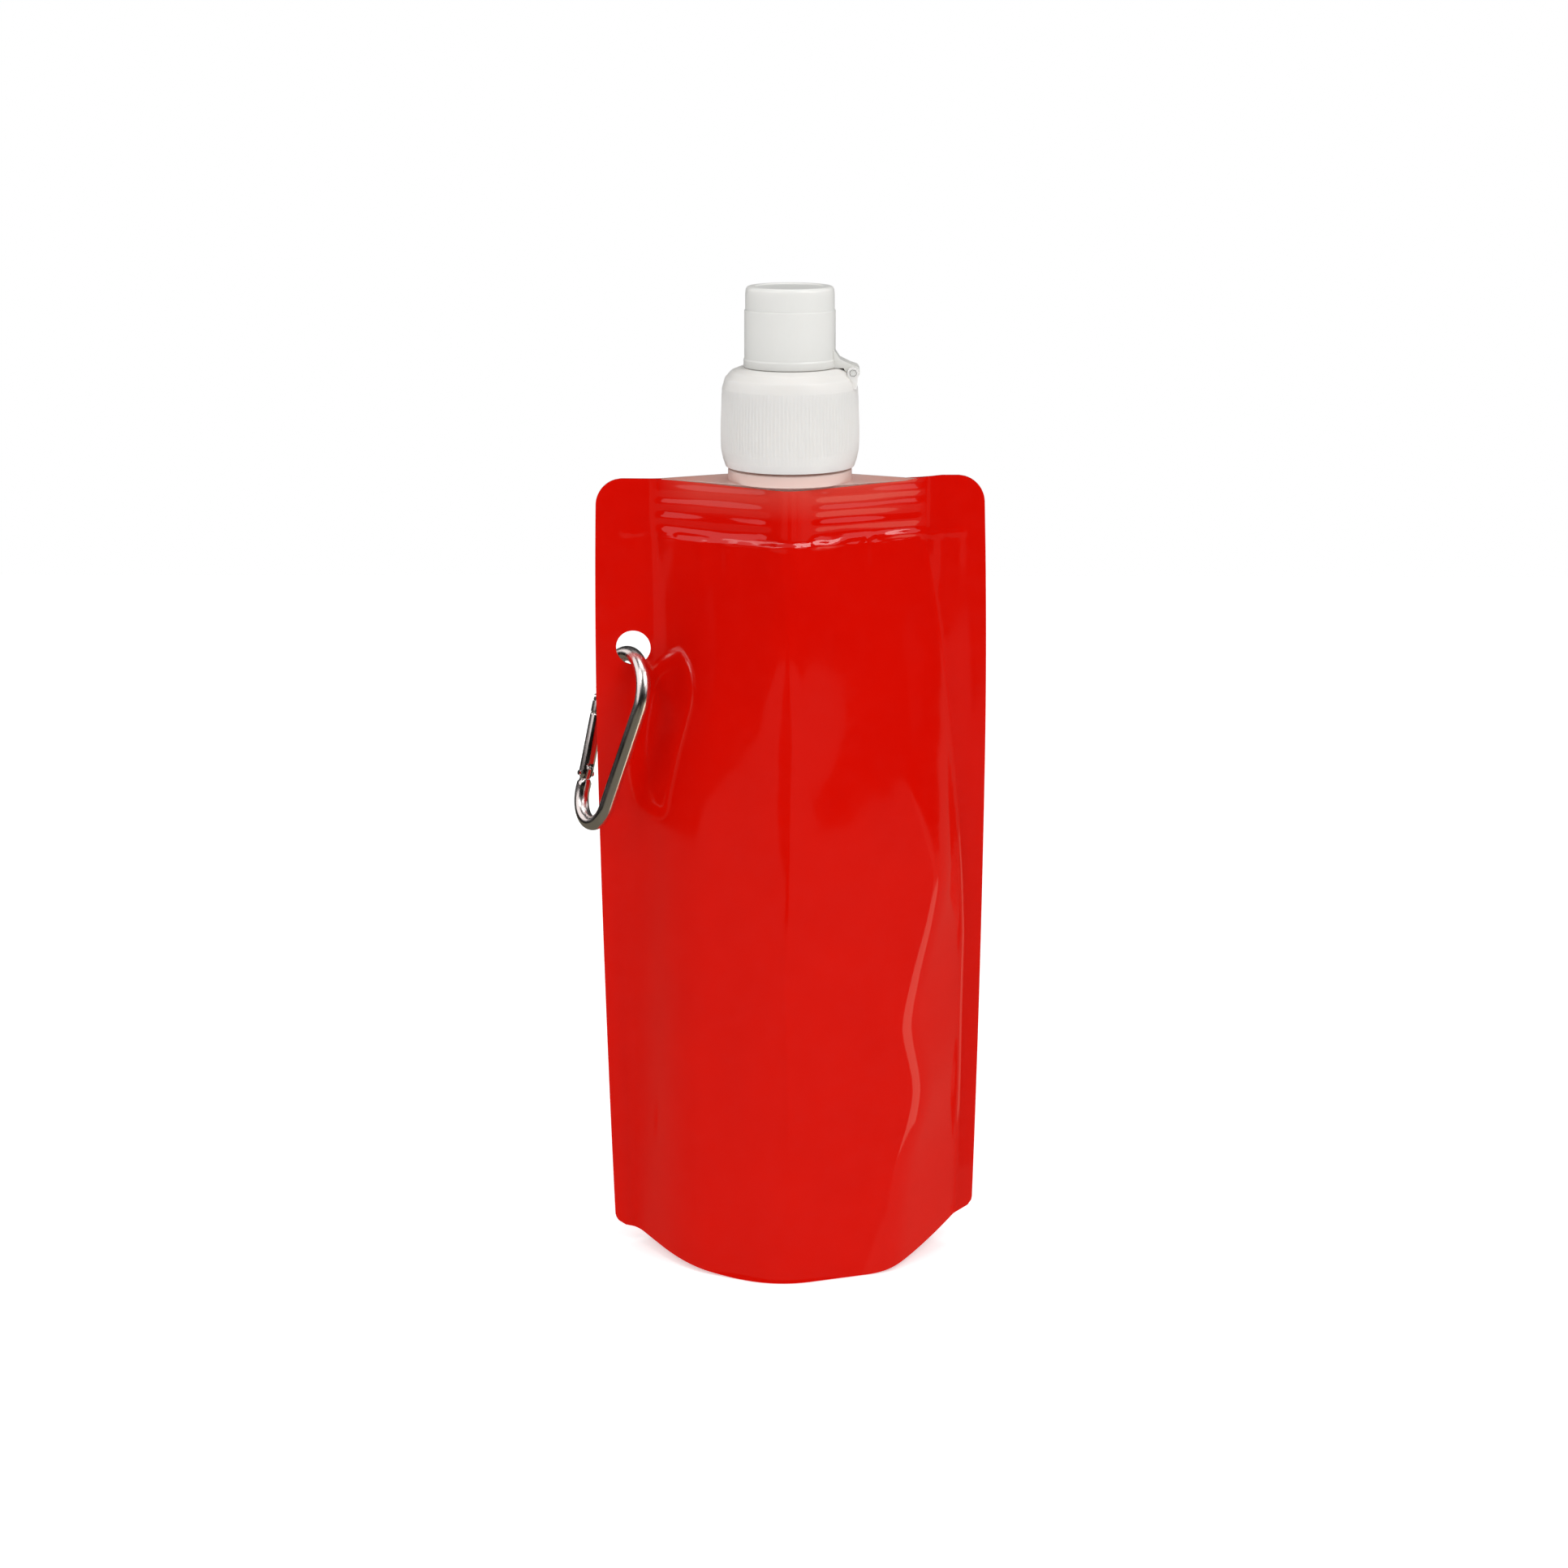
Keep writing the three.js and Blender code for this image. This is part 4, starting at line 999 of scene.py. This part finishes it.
def loop_line():
    """The rod's middle line as (a, b, flatness): up the nose, over the top, round the foot to the rivet."""
    line = [(LATCH[0] - 0.1, 17.6, 1), (LATCH[0] - 0.1, 15.2, 1), (LATCH[0] - 0.1, 14.4, 0.6), (-11, 13.6, 0)]
    for k in range(33):
        t = math.pi * (1 - k / 32)
        line.append((LOOP_R * math.cos(t), LOOP_R - LOOP_R * math.sin(t), 0))
    for k in range(1, 12):
        t = k / 12
        line.append((LOOP_R + (FOOT_A + FOOT_R - LOOP_R) * t, LOOP_R + (FOOT_B - LOOP_R) * t, 0))
    for k in range(29):
        t = -math.pi * k / 28
        line.append((FOOT_A + FOOT_R * math.cos(t), FOOT_B - FOOT_R * math.sin(t), 0))
    return line + [(-6.7, 39.5, 0), (-6.9, 38.8, 0.6), (-7.2, 38.2, 1), (-7.3, 35.4, 1)]


def carabiner_body():
    line = loop_line()
    sides = 32
    points = []
    for k, (a, b, flat) in enumerate(line):
        ahead = line[min(k + 1, len(line) - 1)]
        behind = line[max(k - 1, 0)]
        da, db = ahead[0] - behind[0], ahead[1] - behind[1]
        length = math.hypot(da, db)
        wide = ROD_R + (TONGUE_HALF_W - ROD_R) * flat
        thick = ROD_R + (TONGUE_HALF_T - ROD_R) * flat
        for s in range(sides):
            t = 2 * math.pi * s / sides
            c, d = math.cos(t), math.sin(t)
            power = 1 - 0.45 * flat
            side = math.copysign(abs(c) ** power, c) * wide
            out = math.copysign(abs(d) ** power, d) * thick
            points.append(in_loop(a + db / length * side, b - da / length * side, out))
    body = mesh_object("clip_body", points, tube_faces(len(line), sides))
    return cut(body, pin_bore(RIVET, RIVET_R), pin_bore(LATCH, LATCH_R))


add_piece(carabiner_body(), POLISHED, "carabiner", "polished_metal", "carabiner_body")

GATE_LENGTH = 22
GATE_BORE_R = 1.2
GATE_BORE_LENGTH = 13.7
GATE_SLOT_HALF = 1.05
GATE_WAY = Vector((LATCH[0] - RIVET[0], LATCH[1] - RIVET[1])).normalized()


def on_gate(t, w=0, off=0):
    """A point t along the gate from its rivet, in metres."""
    a = RIVET[0] + GATE_WAY.x * t - GATE_WAY.y * off
    b = RIVET[1] + GATE_WAY.y * t + GATE_WAY.x * off
    return in_loop(a, b, w)


def turned_on_gate(name, corners, segments=40):
    """A solid turned about the gate's own line, from (radius, distance from the rivet, fillet) corners."""
    profile = rounded(corners, 4)
    origin = on_gate(0)
    along = (on_gate(1) - origin).normalized()
    side = GATE_AXIS.cross(along)
    points = []
    for s in range(segments):
        t = 2 * math.pi * s / segments
        spoke = GATE_AXIS * math.cos(t) + side * math.sin(t)
        for r, distance in profile:
            points.append(origin + along * distance * MM + spoke * r * MM)
    return mesh_object(name, points, turned_faces(segments, len(profile)))


def gate_slot(start, end):
    """A tool across the gate, between two distances along it."""
    widths = (-GATE_SLOT_HALF, GATE_SLOT_HALF)
    return block([on_gate(t, w, off) for t in (start, end) for w in widths for off in (-4, 4)])


def latch_notch():
    """A tool that opens the gate's tip towards the outside, so that it passes the latch pin."""
    return block([
        in_loop(LATCH[0] + a, LATCH[1] + b, w) for b in (-0.95, 0.95) for w in (-3, 3) for a in (-5, 0.9)
    ])


def carabiner_gate():
    gate = turned_on_gate("clip_gate", [
        (0, -1.6, 0), (1.2, -1.6, 0.9), (GATE_R, -0.2, 0.6), (GATE_R, 16.4, 0.2), (GATE_R - 0.18, 16.7, 0.1),
        (GATE_R - 0.18, 17.0, 0.1), (GATE_R, 17.3, 0.2), (GATE_R, GATE_LENGTH, 0.5), (0, GATE_LENGTH, 0),
    ])
    foot_slot = gate_slot(-4, 3)
    tip_slot = gate_slot(GATE_LENGTH - 4.6, GATE_LENGTH + 1)
    spring_bore = bar(on_gate(0), on_gate(GATE_BORE_LENGTH), GATE_BORE_R * MM)
    return cut(gate, foot_slot, tip_slot, spring_bore, pin_bore(RIVET, RIVET_R), latch_notch())


add_piece(carabiner_gate(), POLISHED, "gate", "polished_metal", "carabiner_gate")

for node, material in (
    ("gate_rivet", POLISHED),
    ("latch_pin", SPRING_STEEL),
    ("gate_plunger", SPRING_STEEL),
    ("gate_spring", SPRING_STEEL),
):
    paint(NODES[node], material)

# ---- Stage: pale floor, soft lights, camera ------------------------------------------------------
FLOOR_HALF = 1
FLOOR_Z = -0.0002
CARD_Z = 0.0003
FLOOR_FROM = 0.03  # the mirrored floor starts this far from the bottle's axis
FLOOR_TINT = (1, 0.94, 0.72)
WALL_TINT = (1, 0.95, 0.94)


def flat(name, corners, material):
    """A flat sheet of the stage, from corners in metres."""
    mesh = bpy.data.meshes.new(name)
    mesh.from_pydata(corners, [], [tuple(range(len(corners)))])
    obj = bpy.data.objects.new(name, mesh)
    bpy.context.scene.collection.objects.link(obj)
    paint(obj, material)
    return obj


def glow(name, colour):
    material = bpy.data.materials.new(name)
    material.use_nodes = True
    tree = material.node_tree
    tree.nodes.clear()
    emission = tree.nodes.new("ShaderNodeEmission")
    emission.inputs["Color"].default_value = (*colour, 1)
    output = tree.nodes.new("ShaderNodeOutputMaterial")
    tree.links.new(emission.outputs["Emission"], output.inputs["Surface"])
    return material


def card(name, corners, brightness, colour=FLOOR_TINT):
    """A card that only mirror reflections see, as a studio's dim cards and dark room would be."""
    obj = flat(name, corners, glow(name, [brightness * c for c in colour]))
    obj.visible_camera = False
    obj.visible_diffuse = False
    obj.visible_shadow = False
    obj.visible_transmission = False


def side_wall(name, x, low, high, brightness):
    corners = [(x, -1.2, low), (x, 1.2, low), (x, 1.2, high), (x, -1.2, high)]
    card(name, corners, brightness, WALL_TINT)


def floor_card(name, outline, inner, height, brightness):
    """Floor round the bottle: outline is (angle, reach), in degrees to the right of straight ahead."""
    near, far = [], []
    steps = 6
    for (a, ra), (b, rb) in zip(outline, outline[1:]):
        for k in range(steps + 1):
            angle = math.radians(a + (b - a) * k / steps)
            reach = ra + (rb - ra) * k / steps
            near.append((inner * math.sin(angle), -inner * math.cos(angle), height))
            far.append((reach * math.sin(angle), -reach * math.cos(angle), height))
    card(name, near + far[::-1], brightness)


pale = new_material("pale_floor", (0.9, 0.9, 0.9), 0.9, Emission_Color=(1, 1, 1, 1), Emission_Strength=0.5)
floor_corners = [(FLOOR_HALF * x, FLOOR_HALF * y, FLOOR_Z) for x, y in ((-1, -1), (1, -1), (1, 1), (-1, 1))]
flat("floor", floor_corners, pale)
# The pale floor ends nearer straight ahead, where the camera stands, than to its two sides.
floor_card("floor_in_front", [
    (-60, 0.8), (-48, 1.0), (-38, 1.15), (-28, 1.3), (-18, 1.8), (-9, 2.2), (-8, 0.5), (8, 0.5), (9, 2.4),
    (22, 1.9), (28, 1.5), (33, 1.15), (38, 1.4), (46, 1.7),
], FLOOR_FROM, CARD_Z, 0.16)
floor_card("floor_at_the_right", [(46, 1.7), (110, 1.5), (179, 0.9)], FLOOR_FROM, CARD_Z, 0.28)
floor_card("floor_at_the_left", [(-179, 0.6), (-120, 0.6), (-60, 0.8)], FLOOR_FROM, CARD_Z, 0.14)
floor_card("bright_strip", [(48, 0.6), (74, 0.6)], 0.13, CARD_Z + 0.0001, 1.4)
floor_card("floor_further_out", [(-180, 8), (-90, 8), (0, 8), (90, 8), (180, 8)], 0, CARD_Z - 0.0002, 0)
card("dark_room", [(-3, -1.6, -0.1), (3, -1.6, -0.1), (3, -1.6, 0.9), (-3, -1.6, 0.9)], 0)
# Pale walls and ceiling, above what the film mirrors: the clip and the cap take their highlights from them.
side_wall("left_wall", -1.3, 0.35, 1.6, 1.1)
side_wall("right_wall", 1.3, 0.5, 1.6, 1.1)
card("ceiling", [(-0.9, -1.2, 1.7), (0.9, -1.2, 1.7), (0.9, 1.2, 1.7), (-0.9, 1.2, 1.7)], 0.5, WALL_TINT)


def softbox(name, at, size, power, target=(0, 0, 0.13)):
    data = bpy.data.lights.new(name, "AREA")
    data.shape = "RECTANGLE"
    data.size, data.size_y = size
    data.energy = power
    lamp = bpy.data.objects.new(name, data)
    lamp.location = at
    lamp.rotation_euler = (Vector(target) - Vector(at)).to_track_quat("-Z", "Y").to_euler()
    bpy.context.scene.collection.objects.link(lamp)


softbox("key", (0.65, -0.6, 1.1), (0.5, 0.5), 5)
softbox("fill", (-0.65, -0.6, 1.1), (0.5, 0.5), 2.3)
softbox("top", (0, 0.1, 1.3), (0.8, 0.8), 3)


def studio_world(to_camera, to_mirrors, to_the_rest):
    """White behind the bottle, dim in its mirror reflections."""
    world = bpy.data.worlds.new("studio")
    world.use_nodes = True
    tree = world.node_tree
    rays = tree.nodes.new("ShaderNodeLightPath")
    dim = tree.nodes.new("ShaderNodeMix")
    dim.inputs["A"].default_value = to_the_rest
    dim.inputs["B"].default_value = to_mirrors
    tree.links.new(rays.outputs["Is Glossy Ray"], dim.inputs["Factor"])
    white = tree.nodes.new("ShaderNodeMix")
    white.inputs["B"].default_value = to_camera
    tree.links.new(rays.outputs["Is Camera Ray"], white.inputs["Factor"])
    tree.links.new(dim.outputs["Result"], white.inputs["A"])
    tree.links.new(white.outputs["Result"], tree.nodes["Background"].inputs["Strength"])
    tree.nodes["Background"].inputs["Color"].default_value = (1, 1, 1, 1)
    bpy.context.scene.world = world


studio_world(to_camera=1.0, to_mirrors=0.04, to_the_rest=0.5)
bpy.context.scene.view_settings.view_transform = "Standard"

CAMERA_YAW = math.radians(0.61)
CAMERA_PITCH = math.radians(15.16)
CAMERA_AWAY = 0.715
CAMERA_HEIGHT = 0.329

lens = bpy.data.cameras.new("camera")
lens.sensor_width = 36
lens.lens = 62.63
lens.shift_x = -0.0038
lens.shift_y = -0.0016
lens.clip_start = 0.01
camera = bpy.data.objects.new("camera", lens)
camera.location = (
    AXIS_X * MM + CAMERA_AWAY * math.sin(CAMERA_YAW), -CAMERA_AWAY * math.cos(CAMERA_YAW), CAMERA_HEIGHT,
)
camera.rotation_euler = (math.pi / 2 - CAMERA_PITCH, 0, CAMERA_YAW)
bpy.context.scene.collection.objects.link(camera)
bpy.context.scene.camera = camera
